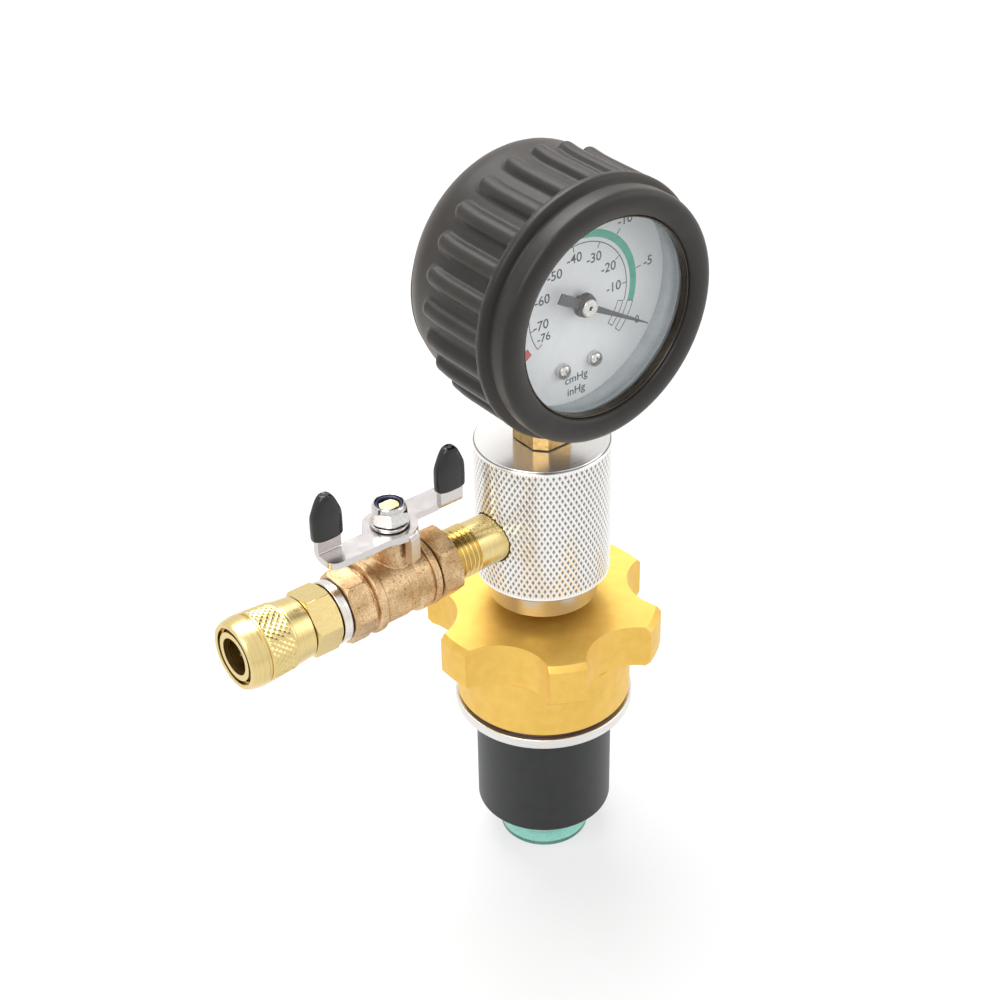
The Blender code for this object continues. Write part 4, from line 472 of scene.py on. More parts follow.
# Valve: a mini ball valve. Its hexagonal end piece and its body are hot forged brass,
# blasted and tumbled, so they are brown and grainy, and the end piece screws into the body.
def hexagonal(outline, flats, turn, steps=96):
    """Turn a bar with rounded ends, then mill six flats on it at a width across flats."""
    bar = turned(outline, steps)
    for k in range(6):
        angle = math.radians(turn + 60 * k)
        away = Vector((math.cos(angle), math.sin(angle), 0))
        cut = bmesh.ops.bisect_plane(
            bar, geom=bar.verts[:] + bar.edges[:] + bar.faces[:], dist=0.0005 * MM,
            plane_co=away * flats / 2 * MM, plane_no=away, clear_outer=True,
        )["geom_cut"]
        bmesh.ops.edgeloop_fill(bar, edges=[g for g in cut if isinstance(g, bmesh.types.BMEdge)])
    bmesh.ops.recalc_face_normals(bar, faces=bar.faces)
    return bar


forged, shader = finish("tumbled hot forged brass", "B48C5A", 1, 0.42)
# Scale and blasting leave a brown, sandy skin of about 0.4 mm grain with dark pits up to
# 0.7 mm wide; tumbling leaves its high spots paler.
mottled(forged, shader, "B58F62", "E8CBA2", 0.4, (0.32, 0.52), 0.09)
pits = add(
    forged, "TexNoise",
    {"Vector": add(forged, "TexCoord", out="Object"), "Scale": 1 / (0.7 * MM), "Detail": 3},
)
pits = add(forged, "MapRange", {"Value": pits, "From Min": 0.61, "From Max": 0.68, "To Max": 0.7})
skin = shader.inputs["Base Color"].links[0].from_socket
add(
    forged, "Mix", {0: pits, 6: skin, 7: "6E4C2E"},
    shader.inputs["Base Color"], out=2, data_type="RGBA",
)

end_hex = hexagonal(
    [
        (6.6, 31.9), (8.4, 31.9), (9.6, 32.6), (9.6, 37.3), (8.4, 38.0), (6.2, 38.0),
        (6.2, 41.0), (4.0, 41.0), (4.0, 36.6), (6.6, 36.6),
    ],
    17.0, 17,
)
end_hex = placed("valve_end_hex", eased(end_hex, 0.22, 24), forged, PIPE)
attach(end_hex, "filler")
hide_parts("valve_end_piece")

STEM_REACH = 47.4
STEM = Matrix.Translation((-STEM_REACH * MM, 0, VALVE_HEIGHT * MM))
shell = turned(
    [
        (0, 38.4), (8.5, 38.4), (9.0, 38.8), (9.0, 40.5), (8.1, 40.6), (8.1, 41.2),
        (8.95, 41.3), (8.95, 43.9), (8.2, 44.5), (8.2, 47.6), (8.5, 47.8), (8.5, 54.6),
        (8.9, 54.9), (9.4, 55.3), (9.4, 57.0), (8.9, 57.4), (7.8, 57.6), (7.8, 61), (0, 61),
    ]
)
valve_hex = hexagonal(
    [(0, 58.2), (8.4, 58.2), (9.2, 58.7), (9.5, 59.4), (9.5, 63.4), (8.7, 64.5), (0, 64.5)],
    16.5, 30,
)
bmesh.ops.transform(shell, matrix=PIPE, verts=shell.verts)
bmesh.ops.transform(valve_hex, matrix=PIPE, verts=valve_hex.verts)
tower = turned([(0, 5.5), (4.45, 5.5), (4.45, 15.2), (4.15, 15.5), (0, 15.5)])
bmesh.ops.transform(tower, matrix=STEM, verts=tower.verts)
shell = carved(carved(shell, valve_hex, "UNION"), tower, "UNION")
bmesh.ops.triangulate(shell, faces=shell.faces)
shell = worked(shell, "REMESH", mode="VOXEL", voxel_size=0.2 * MM)
bmesh.ops.smooth_vert(
    shell, verts=shell.verts, factor=0.5, use_axis_x=True, use_axis_y=True, use_axis_z=True
)
ball_bore = [
    (0, 37), (6.5, 37), (6.5, 53.7), (3.2, 53.7), (3.2, 56.5), (6.9, 56.5), (6.9, 65), (0, 65)
]
stem_bore = [
    (0, 3), (3.6, 3), (3.6, 7.3), (2.75, 7.3), (2.75, 12.5), (3.6, 12.5), (3.6, 17), (0, 17)
]
for outline, axis in ((ball_bore, PIPE), (stem_bore, STEM)):
    drill = turned(outline)
    bmesh.ops.transform(drill, matrix=axis, verts=drill.verts)
    bmesh.ops.triangulate(drill, faces=drill.faces)
    shell = worked(shell, "BOOLEAN", drill, operation="DIFFERENCE", solver="EXACT")
shell = placed("valve_shell", shell, forged)
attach(shell, "filler")
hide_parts("valve_body")


# Ball, seats, packing and stem: a nickel plated brass ball between two white PTFE rings,
# and the brass stem that turns it. They are the frame's solids, seen at the stem's top.
nickel, shader = finish("bright nickel plate", "DCDAD6", 1, 0.14)
# Nickel over polished brass: a clear, slightly warm mirror with a faint broad ripple.
mottled(nickel, shader, "C4C1BC", "DAD7D3", 0.6, (0.08, 0.16), 0.001)
ptfe, shader = finish("skived PTFE", "E9E8E2", 0, 0.5)
# PTFE cut from a billet: milky white, waxy and dull.
mottled(ptfe, shader, "DEDCD4", "F2F1EC", 0.4, (0.42, 0.6), 0.004)
pale_brass, shader = finish("sawn brass", "DDD2A6", 1, 0.3)
# The stem's sawn end: pale yellow, satin, with fine saw marks.
mottled(pale_brass, shader, "D0C394", "E8DEB8", 0.3, (0.24, 0.4), 0.004)
for node, material in (
    ("valve_ball", nickel),
    ("ball_seat_inner", ptfe),
    ("ball_seat_outer", ptfe),
    ("stem_packing", ptfe),
    ("valve_stem", pale_brass),
):
    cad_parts[node].material_slots[0].material = material


# Butterfly handle: stamped from 1.8 mm steel sheet, bent into two wings and a stop tab
# and plated bright, with two soft vinyl grips dipped on its wings.
def copied(node):
    """A merged copy of a solid of the frame, with its flat faces whole again."""
    mesh = bmesh.new()
    mesh.from_mesh(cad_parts[node].data)
    bmesh.ops.transform(mesh, matrix=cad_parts[node].matrix_world, verts=mesh.verts)
    bmesh.ops.remove_doubles(mesh, verts=mesh.verts, dist=0.002 * MM)
    bmesh.ops.dissolve_limit(
        mesh, angle_limit=math.radians(0.5), verts=mesh.verts, edges=mesh.edges,
        use_dissolve_boundaries=False,
    )
    bmesh.ops.recalc_face_normals(mesh, faces=mesh.faces)
    return mesh


zinc, shader = finish("bright zinc plated steel", "DEDCD9", 1, 0.24)
# Rolled sheet under bright zinc: silver, with soft broad waves.
mottled(zinc, shader, "CEC8C6", "D4CFCD", 2.5, (0.2, 0.25), 0.001)

WING_REACH = 17.4
WING_SHOULDER = 20.7
WING_TOP_SHARE = 0.4
handle = copied("butterfly_handle")
bmesh.ops.bisect_plane(
    handle, geom=handle.verts[:] + handle.edges[:] + handle.faces[:],
    plane_co=(0, 0, (VALVE_HEIGHT + WING_SHOULDER) * MM), plane_no=(0, 0, 1),
)
for vert in handle.verts:
    if vert.co.z > (VALVE_HEIGHT + WING_SHOULDER + 0.3) * MM:
        middle = math.copysign(WING_REACH, vert.co.x / MM + STEM_REACH) - STEM_REACH
        vert.co.x = (middle + (vert.co.x / MM - middle) * WING_TOP_SHARE) * MM
handle = placed("wing_handle", eased(handle, 0.3, 30, 3), zinc)
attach(handle, "handle")
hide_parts("butterfly_handle")

vinyl, shader = finish("dipped black vinyl", "1E1E20", 0, 0.28)
# Plasticised PVC: deep black with a wet, soft-edged shine and slight sag ripples.
mottled(vinyl, shader, "141416", "1C1C1E", 1.1, (0.18, 0.26), 0.006)
GRIP_HALF_WIDTH = 4.25
GRIP_HALF_DEPTH = 1.95
ROUNDNESS = 2.8
BEND_OFFSET = 1.0
POCKET_SIZE = (6.9, 2.0, 11.0)
POCKET_HEIGHT = 26.2
for word, side in (("left", -1), ("right", 1)):
    bullet = [(0, 21.3), (3.9, 21.3), (4.1, 21.4), (4.2, 21.7), (4.25, 24.0), (4.22, 26.6)]
    bullet += [(4.15, 27.4), (3.95, 28.2), (3.5, 29.3), (2.95, 30.6), (2.4, 31.7), (1.9, 32.4)]
    grip = turned(bullet + [(1.4, 32.85), (0.8, 33.05), (0.5, 32.95), (0, 32.9)], steps=64)
    middle = Vector((side * WING_REACH, -side * BEND_OFFSET, 0)) * MM
    for vert in grip.verts:
        share = min(vert.co.xy.length / (GRIP_HALF_WIDTH * MM), 1)
        across, through = vert.co.xy.normalized()
        if share:
            corner = (abs(across) ** ROUNDNESS + abs(through) ** ROUNDNESS) ** (-1 / ROUNDNESS)
            vert.co.x = GRIP_HALF_WIDTH * share * across * corner * MM
            vert.co.y = GRIP_HALF_DEPTH * share**0.45 * through * corner * MM
        vert.co += middle
    pocket = bmesh.new()
    bmesh.ops.create_cube(pocket, size=1)
    bmesh.ops.scale(pocket, vec=Vector(POCKET_SIZE) * MM, verts=pocket.verts)
    for vert in (v for v in pocket.verts if v.co.z > 0):
        vert.co.x *= WING_TOP_SHARE + 0.02
    middle.z = POCKET_HEIGHT * MM
    bmesh.ops.translate(pocket, vec=middle, verts=pocket.verts)
    for source in (grip, pocket):
        bmesh.ops.triangulate(source, faces=source.faces)
        bmesh.ops.recalc_face_normals(source, faces=source.faces)
    grip = worked(grip, "BOOLEAN", pocket, operation="DIFFERENCE", solver="EXACT")
    grip = placed(f"vinyl_grip_{word}", grip, vinyl, STEM, smooth_below=60)
    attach(grip, "handle")
    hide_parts(f"handle_grip_{word}")


# Washer, lock nut and its ring: a plated steel washer, a hexagonal nut whose rolled
# crown grips a blue nylon ring, and the stem's brass end that shows inside it.
washer = turned([(2.75, 17.9), (4.9, 17.9), (4.9, 18.7), (2.75, 18.7)])
nut = hexagonal(
    [
        (2.75, 19.0), (4.4, 19.0), (4.9, 19.4), (4.9, 21.9), (4.45, 22.3), (4.25, 22.5),
        (4.15, 22.9), (4.0, 23.4), (3.75, 23.8), (3.55, 23.75), (3.5, 22.0), (2.75, 22.0),
    ],
    8.5, 30,
)
for name, mesh, edge, node in (
    ("plated_washer", washer, 0.12, "handle_washer"),
    ("lock_nut", nut, 0.12, "handle_nut"),
):
    piece = placed(name, eased(mesh, edge), nickel, STEM)
    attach(piece, "handle")
    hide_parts(node)
blue_nylon, shader = finish("dark blue nylon", "1D2440", 0, 0.35)
# Nylon ring of the lock nut: dark blue with a soft shine and the odd rubbed patch.
mottled(blue_nylon, shader, "161B33", "2A3560", 0.3, (0.28, 0.45), 0.006)
ring = turned([(2.75, 22.2), (3.35, 22.2), (3.35, 23.4), (3.1, 23.5), (2.75, 23.3)])
ring = placed("nut_nylon_ring", eased(ring, 0.06), blue_nylon, STEM)
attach(ring, "handle")
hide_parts("nut_insert")


# Adapter: a turned collar, nickel plated, with a black rubber gasket. It joins the
# valve's port to the coupler.
gasket = turned([(6.9, 64.5), (7.9, 64.5), (7.9, 64.85), (6.9, 64.85)])
gasket = placed("port_gasket", eased(gasket, 0.1), rubber, PIPE)
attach(gasket, "filler")
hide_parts("adapter_gasket")
side_nickel, shader = finish("turned nickel plate", "DDDBD8", 1, 0.16)
# Nickel over lathe marks: a bright mirror that the marks draw out into bands.
cut = turning_marks(
    side_nickel, shader, 0.12, 0.003, (0.1, 0.24), "X", (0, 0, VALVE_HEIGHT * MM)
)
tinted(side_nickel, shader, cut, "DAD3CA", "F2ECE6")
adapter = turned(
    [
        (3.0, 58.0), (6.6, 58.0), (6.6, 64.88), (8.1, 64.88), (8.1, 67.2), (6.0, 67.2),
        (6.0, 73.5), (3.0, 73.5),
    ]
)
adapter = placed("plated_adapter", eased(adapter, 0.2), side_nickel, PIPE)
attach(adapter, "filler")
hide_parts("adapter_nipple")


# Quick coupler: a brass body with a hexagon for a spanner and a socket tube, and round
# it a brass sleeve with a knurled grip, which slides on a spring to let the plug go.
coupler = hexagonal(
    [
        (6.3, 67.5), (7.6, 67.5), (8.6, 68.1), (8.6, 74.2), (7.6, 74.8), (6.6, 74.8),
        (6.6, 79.3), (6.2, 79.3), (6.2, 86.9), (6.65, 86.9), (6.65, 87.8), (6.2, 87.8),
        (6.2, 93.4), (4.75, 93.4), (4.75, 84.0), (5.6, 84.0), (5.6, 82.0), (4.75, 82.0),
        (4.75, 80.0), (3.0, 80.0), (3.0, 73.9), (6.3, 73.9),
    ],
    15.0, 40,
)
coupler = placed("coupler_core", eased(coupler, 0.18, 24), side_brass, PIPE)
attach(coupler, "filler")
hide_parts("coupler_body")

GRIP_START = 80.8
GRIP_END = 88.0
grip_rows = 16
grip_row = (GRIP_END - GRIP_START) / grip_rows
outline = [(6.9, 75.1), (7.6, 75.1), (7.78, 75.3), (8.3, 80.0), (8.3, 80.4), (8.5, 80.6)]
outline += [(8.55 + 0.45 * k / grip_rows, GRIP_START + grip_row * k) for k in range(grip_rows + 1)]
outline += [
    (8.95, 88.2), (8.62, 88.3), (8.62, 89.0), (9.0, 89.1), (9.12, 89.3), (9.12, 90.2),
    (8.75, 92.6), (8.3, 93.5), (8.1, 93.6), (7.4, 93.6), (7.2, 93.4), (7.2, 92.1),
    (6.95, 92.1), (6.95, 88.8), (7.4, 88.8), (7.4, 80.1), (6.9, 80.1),
]
sliding = knurled(turned(outline, steps=144), GRIP_START, GRIP_END, 36, grip_row * 4, 0.22)
sliding = placed("sliding_sleeve", sliding, side_brass, PIPE, smooth_below=24)
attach(sliding, "sleeve")
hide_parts("coupler_sleeve")

for node, material in (
    ("coupler_seal", rubber),
    ("coupler_spring", zinc),
    ("coupler_ball_1", nickel),
    ("coupler_ball_2", nickel),
    ("coupler_ball_3", nickel),
    ("coupler_ball_4", nickel),
):
    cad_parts[node].material_slots[0].material = material


# Gauge stem: a brass bar milled square with cut corners for a spanner, whose upper end
# carries the pressure tube and the movement inside the case.
milled, shader = finish("milled brass", "A98352", 1, 0.16)
# Brass milled flat: browner and darker than the turned pieces, as painted shade and
# painted reflection of the dark rubber above it, in soft broad patches.
mottled(milled, shader, "97794C", "B89A66", 1.2, (0.14, 0.24), 0.001)
NARROWER = 0.89
stem_bar = copied("gauge_socket")
bmesh.ops.scale(stem_bar, vec=(NARROWER, 1, 1), verts=stem_bar.verts)
stem_bar = placed("gauge_stem", eased(stem_bar, 0.25, 35), milled)
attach(stem_bar, "filler")
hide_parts("gauge_socket")


# Rubber boot: moulded black rubber stretched over the gauge's case, with 24 rounded
# ribs for the hand, a shoulder ring, a groove and a rolled lip round the glass. It was
# pushed on by hand, so its back sits slightly askew.
GAUGE_HEIGHT = 126.2
GAUGE = Matrix(((1, 0, 0, 0), (0, 0, -1, 0), (0, 1, 0, GAUGE_HEIGHT * MM), (0, 0, 0, 1)))

outline = [(19.0, -16.6), (19.4, -17.0), (24.2, -17.0)]
outline += [
    (24.2 + 7.0 * math.sin(math.radians(a)), -9.0 - 8.0 * math.cos(math.radians(a)))
    for a in range(10, 91, 8)
]
outline += [(31.2, depth) for depth in (-8.2, -7.4, -6.6, -6.1)]
outline += [(31.2, -5.8 + 0.25 * k) for k in range(16)]
outline += [(31.2, depth) for depth in (-1.6, -0.8, 1, 4, 7, 10, 13, 15, 16)]
outline += [
    (31.4, 16.2), (32.4, 16.5), (33.0, 16.9), (33.3, 17.4), (33.3, 18.3), (33.0, 18.8),
    (32.3, 19.2), (31.4, 19.5), (30.9, 19.8), (30.8, 20.1), (31.0, 20.4), (31.4, 20.7),
    (31.6, 21.2), (31.6, 24.2), (31.3, 25.0), (30.7, 25.5), (29.8, 25.85), (28.6, 25.95),
    (27.4, 25.85), (26.4, 25.6), (25.7, 25.3), (25.35, 24.9), (25.3, 24.4), (25.3, 23.5),
    (28.6, 23.5), (28.6, -13.7), (19.0, -13.7),
]
boot = turned(outline, steps=576)
WALL = 31.2
RIB_PITCH = math.tau / 24
RIB_OFFSET = math.radians(3.5)
RIB_HALF_WIDTH = 2.3
RIB_HEIGHT = 2.0
RIB_END = -2.9
FOOT_REACH = 1.3
FOOT_HEIGHT = 0.3
RIBS_FROM = -9
RIBS_TO = 17.3
for vert in boot.verts:
    radius, depth = vert.co.xy.length / MM, vert.co.z / MM
    if radius > WALL - 0.1 and RIBS_FROM < depth < RIBS_TO:
        turn = (math.atan2(vert.co.y, vert.co.x) + RIB_OFFSET) / RIB_PITCH
        across = (turn - round(turn)) * RIB_PITCH * WALL / RIB_HALF_WIDTH
        behind = max(0, RIB_END - depth) / RIB_HALF_WIDTH
        crown = RIB_HEIGHT * max(0, 1 - across**2 - behind**2) ** 0.5
        foot = FOOT_HEIGHT * max(0, FOOT_REACH**2 - across**2 - behind**2)
        vert.co.xy *= max(1, (WALL + max(crown, foot)) / radius)
ASKEW = Vector((1.5, 0.4, 0))
ASKEW_FROM = 2
ASKEW_OVER = 14
CASE_BACK = -13.75
CASE_RADIUS = 30
for vert in boot.verts:
    share = min(max((ASKEW_FROM - vert.co.z / MM) / ASKEW_OVER, 0), 1)
    if vert.co.z < CASE_BACK * MM or vert.co.xy.length > CASE_RADIUS * MM:
        vert.co += ASKEW * share * MM
stem_hole = turned([(0, 15), (8.4, 15), (8.4, 40), (0, 40)], steps=96)
downwards = Matrix(((1, 0, 0, 0), (0, -1, 0, 0), (0, 0, -1, 0), (0, 0, 0, 1)))
bmesh.ops.transform(boot, matrix=GAUGE, verts=boot.verts)
bmesh.ops.transform(
    stem_hole, matrix=Matrix.Translation((0, 0, GAUGE_HEIGHT * MM)) @ downwards,
    verts=stem_hole.verts,
)
for source in (boot, stem_hole):
    bmesh.ops.recalc_face_normals(source, faces=source.faces)
boot = worked(boot, "BOOLEAN", stem_hole, operation="DIFFERENCE", solver="EXACT")

boot_rubber, shader = finish("moulded black boot rubber", "2A2725", 0, 0.42)
# Soft rubber from a satin mould: warm black with a silky sheen that pales its ridges.
# Its fine grain is drawn at 0.3 mm.
shader.inputs["Sheen Weight"].default_value = 0.16
shader.inputs["Sheen Roughness"].default_value = 0.5
shader.inputs["IOR"].default_value = 1.42
shader.inputs["Sheen Tint"].default_value = linear("FFEBD6")
mottled(boot_rubber, shader, "181615", "221F1D", 0.3, (0.36, 0.46), 0.004)
boot = placed("gauge_cover", boot, boot_rubber, smooth_below=45)
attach(boot, "filler")
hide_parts("gauge_boot")


# Case and bezel: a drawn steel can, zinc plated, closed by a crimped ring that is plated
# dark. The can shows in the back of the boot and the ring's inner edge in its front.
dark_plate, shader = finish("black nickel plate", "4A443E", 1, 0.22)
# Black nickel: a dark, slightly brown mirror with fine turned lines.
cut = turning_marks(
    dark_plate, shader, 0.12, 0.003, (0.16, 0.3), "Y", (0, 0, GAUGE_HEIGHT * MM)
)
tinted(dark_plate, shader, cut, "37322D", "564E46")
bezel = turned(
    [
        (24.6, 22.25), (24.65, 24.3), (24.8, 24.6), (25.1, 24.6), (25.2, 23.2), (28.3, 23.2),
        (28.3, 19.3), (27.5, 19.3), (27.5, 22.25),
    ]
)
bezel = placed("crimped_bezel", eased(bezel, 0.12), dark_plate, GAUGE)
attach(bezel, "filler")
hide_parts("gauge_bezel")
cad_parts["gauge_case"].material_slots[0].material = zinc


# Lens: a flat disc of clear glass held in the bezel, with a polished, rounded edge.
glass, shader = finish("float glass", "FFFFFF", 0, 0.02)
# Clear glass: no colour of its own, a soft reflection of the lights with smears about
# 11 mm wide, and no shadow on the dial, because a thin pane lets nearly all light through.
shader.inputs["Transmission Weight"].default_value = 1
shader.inputs["IOR"].default_value = 1.45
smear = add(
    glass, "TexNoise", {"Vector": add(glass, "TexCoord", out="Object"), "Scale": 1 / (11.1 * MM)}
)
add(
    glass, "MapRange", {"Value": smear, "To Min": 0.0, "To Max": 0.06},
    shader.inputs["Roughness"],
)
clear = add(glass, "BsdfTransparent", {"Color": "FFFFFF"})
shadow = add(glass, "LightPath", out="Is Shadow Ray")
mix = add(glass, "MixShader", {0: shadow, 1: shader.outputs[0], 2: clear})
glass.node_tree.links.new(mix, glass.node_tree.nodes["Material Output"].inputs["Surface"])
lens = turned([(0, 21.0), (27.2, 21.0), (27.2, 22.1), (0, 22.1)])
lens = placed("gauge_glass", eased(lens, 0.2), glass, GAUGE)
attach(lens, "filler")
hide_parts("gauge_lens")


# Dial: a white enamelled aluminium disc inside a grey plastic ring, held by two screws.
# Its two scales are printed in black, with a green band for the working range.
enamel, shader = finish("white baked enamel", "DCE6EA", 0, 0.35)
# Enamel sprayed and baked: cool white and even, with a very fine orange peel.
mottled(enamel, shader, "F2F6F8", "F8FAFB", 0.9, (0.3, 0.42), 0.002)
dial = turned([(1.6, 13.0), (26.6, 13.0), (26.6, 13.25), (1.6, 13.25)])
ring = turned(
    [(24.9, 20.2), (24.9, 20.7), (27.1, 20.7), (27.1, 13.28), (26.5, 13.28), (26.7, 20.2)]
)
grey_seal, shader = finish("grey moulded ABS", "B4BABC", 0, 0.4)
# Moulded plastic ring between the dial and the glass: grey, even and slightly silky.
mottled(grey_seal, shader, "A5ADB0", "B8BEC1", 0.5, (0.34, 0.46), 0.002)
for name, mesh, edge, material, node in (
    ("dial_disc", dial, 0.05, enamel, "dial_plate"),
    ("dial_wall", ring, 0.12, grey_seal, "inner_ring"),
):
    piece = placed(name, eased(mesh, edge), material, GAUGE)
    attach(piece, "filler")
    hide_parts(node)

PRINT_LEVEL = 13.27
PRINT_THICKNESS = 0.03


def arc_band(inner, outer, start, end):
    """A flat printed band between two radii in mm and two angles in degrees."""
    band = bmesh.new()
    across, up = math.cos(math.radians(start)), math.sin(math.radians(start))
    ends = [
        band.verts.new(Vector((radius * across, radius * up, PRINT_LEVEL)) * MM)
        for radius in (inner, outer)
    ]
    edge = band.edges.new(ends)
    bmesh.ops.spin(
        band, geom=ends + [edge], axis=(0, 0, 1), cent=(0, 0, 0),
        angle=math.radians(end - start), steps=max(1, round(abs(end - start) / 3)),
    )
    bmesh.ops.recalc_face_normals(band, faces=band.faces)
    bmesh.ops.solidify(band, geom=band.faces[:], thickness=PRINT_THICKNESS * MM)
    return band


def gathered(pieces):
    """Put several meshes into one."""
    whole = bmesh.new()
    for source in pieces:
        data = bpy.data.meshes.new("part")
        source.to_mesh(data)
        source.free()
        whole.from_mesh(data)
        bpy.data.meshes.remove(data)
    return whole


def stroke(points, width):
    """A straight printed line between two points in mm."""
    (x0, y0), (x1, y1) = points
    line = bmesh.new()
    length = math.hypot(x1 - x0, y1 - y0)
    bmesh.ops.create_cube(line, size=1)
    bmesh.ops.scale(line, vec=Vector((length, width, PRINT_THICKNESS)) * MM, verts=line.verts)
    turn = Matrix.Rotation(math.atan2(y1 - y0, x1 - x0), 4, "Z")
    middle = Matrix.Translation(Vector(((x0 + x1) / 2, (y0 + y1) / 2, PRINT_LEVEL)) * MM)
    bmesh.ops.transform(line, matrix=middle @ turn, verts=line.verts)
    return line


def spoke(inner, outer, angle, width):
    """A printed tick that points at the dial's centre."""
    across, up = math.cos(math.radians(angle)), math.sin(math.radians(angle))
    return stroke(((inner * across, inner * up), (outer * across, outer * up)), width)


def lettering(words, size, x, y):
    """Printed figures or a unit mark, centred on a point in mm."""
    curve = bpy.data.curves.new("print", "FONT")
    curve.body = words
    curve.size = size * MM
    curve.extrude = PRINT_THICKNESS / 2 * MM
    curve.offset = 0.02 * MM
    curve.align_x = "CENTER"
    curve.align_y = "CENTER"
    curve.resolution_u = 4
    text = bpy.data.objects.new("print", curve)
    bpy.context.scene.collection.objects.link(text)
    bpy.context.view_layer.update()
    data = bpy.data.meshes.new_from_object(text)
    bpy.data.objects.remove(text)
    mesh = bmesh.new()
    mesh.from_mesh(data)
    bpy.data.meshes.remove(data)
    bmesh.ops.remove_doubles(mesh, verts=mesh.verts, dist=0.001 * MM)
    bmesh.ops.translate(mesh, vec=Vector((x, y, PRINT_LEVEL)) * MM, verts=mesh.verts)
    return mesh


def figure(value, angle, radius):
    """A figure of a scale, centred at an angle in degrees and a radius in mm."""
    across, up = math.cos(math.radians(angle)), math.sin(math.radians(angle))
    return lettering(str(value), 3.5, radius * across, radius * up)


ZERO_ANGLE = -31.5
SCALE_END = 214
LINE = 0.2
INCH_OF_MERCURY = 2.54
DEGREES_PER_CM = 243 / 76
black_print = [arc_band(14.8, 15.02, ZERO_ANGLE + 14, SCALE_END)]
for value in range(10, 80, 10):
    angle = ZERO_ANGLE + DEGREES_PER_CM * value
    black_print.append(spoke(13.4, 14.9, angle, LINE))
    black_print.append(figure(-value, angle, 10.9 if value < 40 else 11.6))
for value in range(5, 35, 5):
    angle = ZERO_ANGLE + DEGREES_PER_CM * value * INCH_OF_MERCURY
    black_print.append(spoke(18.0, 19.6, angle, LINE))
    black_print.append(figure(-value, angle, 21.9))
black_print.append(spoke(13.4, 14.9, SCALE_END, LINE))
for words, size, x, y in (
    ("-76", 3.1, -10.5, -5.9), ("0", 2.9, 18.5, -11.3),
    ("cmHg", 3.0, -0.6, -20.3), ("inHg", 3.0, -0.6, -23.7),
):
    black_print.append(lettering(words, size, x, y))
for inner, outer in ((12.9, 14.6), (16.1, 17.9)):
    for radius in (inner, outer):
        black_print.append(arc_band(radius - LINE / 2, radius + LINE / 2, -44, -18))
    for angle in (-44, -18):
        black_print.append(spoke(inner, outer, angle, LINE))

ink, shader = finish("black screen print", "2A2D30", 0, 0.5)
# Screen printed ink: soft black, slightly open over the enamel.
mottled(ink, shader, "1F2225", "3A3E42", 0.15, (0.42, 0.6), 0.003)
green_ink, shader = finish("green screen print", "4DBFA3", 0, 0.45)
# The same ink in green, flat and even.
mottled(green_ink, shader, "45B599", "57C9AD", 0.3, (0.4, 0.5), 0.003)
red_ink, shader = finish("red screen print", "E0435A", 0, 0.45)
# The same ink in red, flat and even.
mottled(red_ink, shader, "D63A52", "E85068", 0.3, (0.4, 0.5), 0.003)
for name, meshes, material in (
    ("dial_black_print", black_print, ink),
    ("dial_green_band", [arc_band(16.0, 17.95, -18, 150)], green_ink),
    ("dial_red_mark", [arc_band(16.9, 18.8, 205, 213)], red_ink),
):
    piece = placed(name, gathered(meshes), material, GAUGE)
    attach(piece, "filler")


# Dial screws: nickel plated pan head screws with a cross recess, through the dial into
# the block behind it.
SCREW_SPREAD = 4.9
SCREW_SHIFT = -0.3
SCREW_DROP = -16.7
SLOT_SIZE = (2.1, 0.5, 1.1)
SLOT_LEVEL = 15.35
for word, side in (("left", -1), ("right", 1)):
    head = turned(
        [
            (0, 9.0), (0.6, 9.0), (0.6, 13.35), (1.95, 13.35), (1.95, 14.3), (1.8, 14.75),
            (1.4, 15.1), (0.8, 15.28), (0, 15.3),
        ],
        steps=64,
    )
    recess = bmesh.new()
    for turn in (0.4, 0.4 + math.pi / 2):
        slot = Matrix.Translation((0, 0, SLOT_LEVEL * MM)) @ Matrix.Rotation(turn, 4, "Z")
        slot = slot @ Matrix.Diagonal([size * MM for size in SLOT_SIZE] + [1])
        bmesh.ops.create_cube(recess, size=1, matrix=slot)
    bmesh.ops.triangulate(head, faces=head.faces)
    head = worked(head, "BOOLEAN", recess, operation="DIFFERENCE", solver="EXACT", use_self=True)
    across = side * SCREW_SPREAD + SCREW_SHIFT
    place = GAUGE @ Matrix.Translation((across * MM, SCREW_DROP * MM, 0))
    screw = placed(f"pan_screw_{word}", head, nickel, place, smooth_below=40)
    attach(screw, "filler")
    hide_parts(f"dial_screw_{word}")


# Pointer: a pressed aluminium needle with a broad tail, painted dark grey, on a hub that
# is pushed on the arbor and covered by a bright riveted cap.
paint, shader = finish("dark grey satin paint", "4A4E52", 0, 0.45)
# Sprayed satin paint on thin sheet: even dark grey with a fine peel.
mottled(paint, shader, "3E4246", "565A5E", 0.4, (0.38, 0.52), 0.004)
NEEDLE_LEVEL = 16.1
NEEDLE_SHEET = 0.45
NEEDLE_REST = ZERO_ANGLE + 1.3
stations = (
    (-9.5, 1.35), (-6.0, 1.35), (-2.6, 1.0), (2.6, 0.85), (9.0, 0.6), (16.0, 0.4), (22.3, 0.12)
)
needle = bmesh.new()
bmesh.ops.create_grid(needle, x_segments=len(stations) - 1, y_segments=1, size=0.5)
for vert in needle.verts:
    along, half_width = stations[round((vert.co.x + 0.5) * (len(stations) - 1))]
    vert.co = Vector((along, math.copysign(half_width, vert.co.y), NEEDLE_LEVEL)) * MM
bmesh.ops.solidify(needle, geom=needle.faces[:], thickness=-NEEDLE_SHEET * MM)
hub = turned(
    [(0.7, 15.0), (3.0, 15.0), (3.0, 15.7), (2.7, 16.0), (2.7, 16.75), (2.4, 17.0), (0.7, 17.0)],
    steps=64,
)
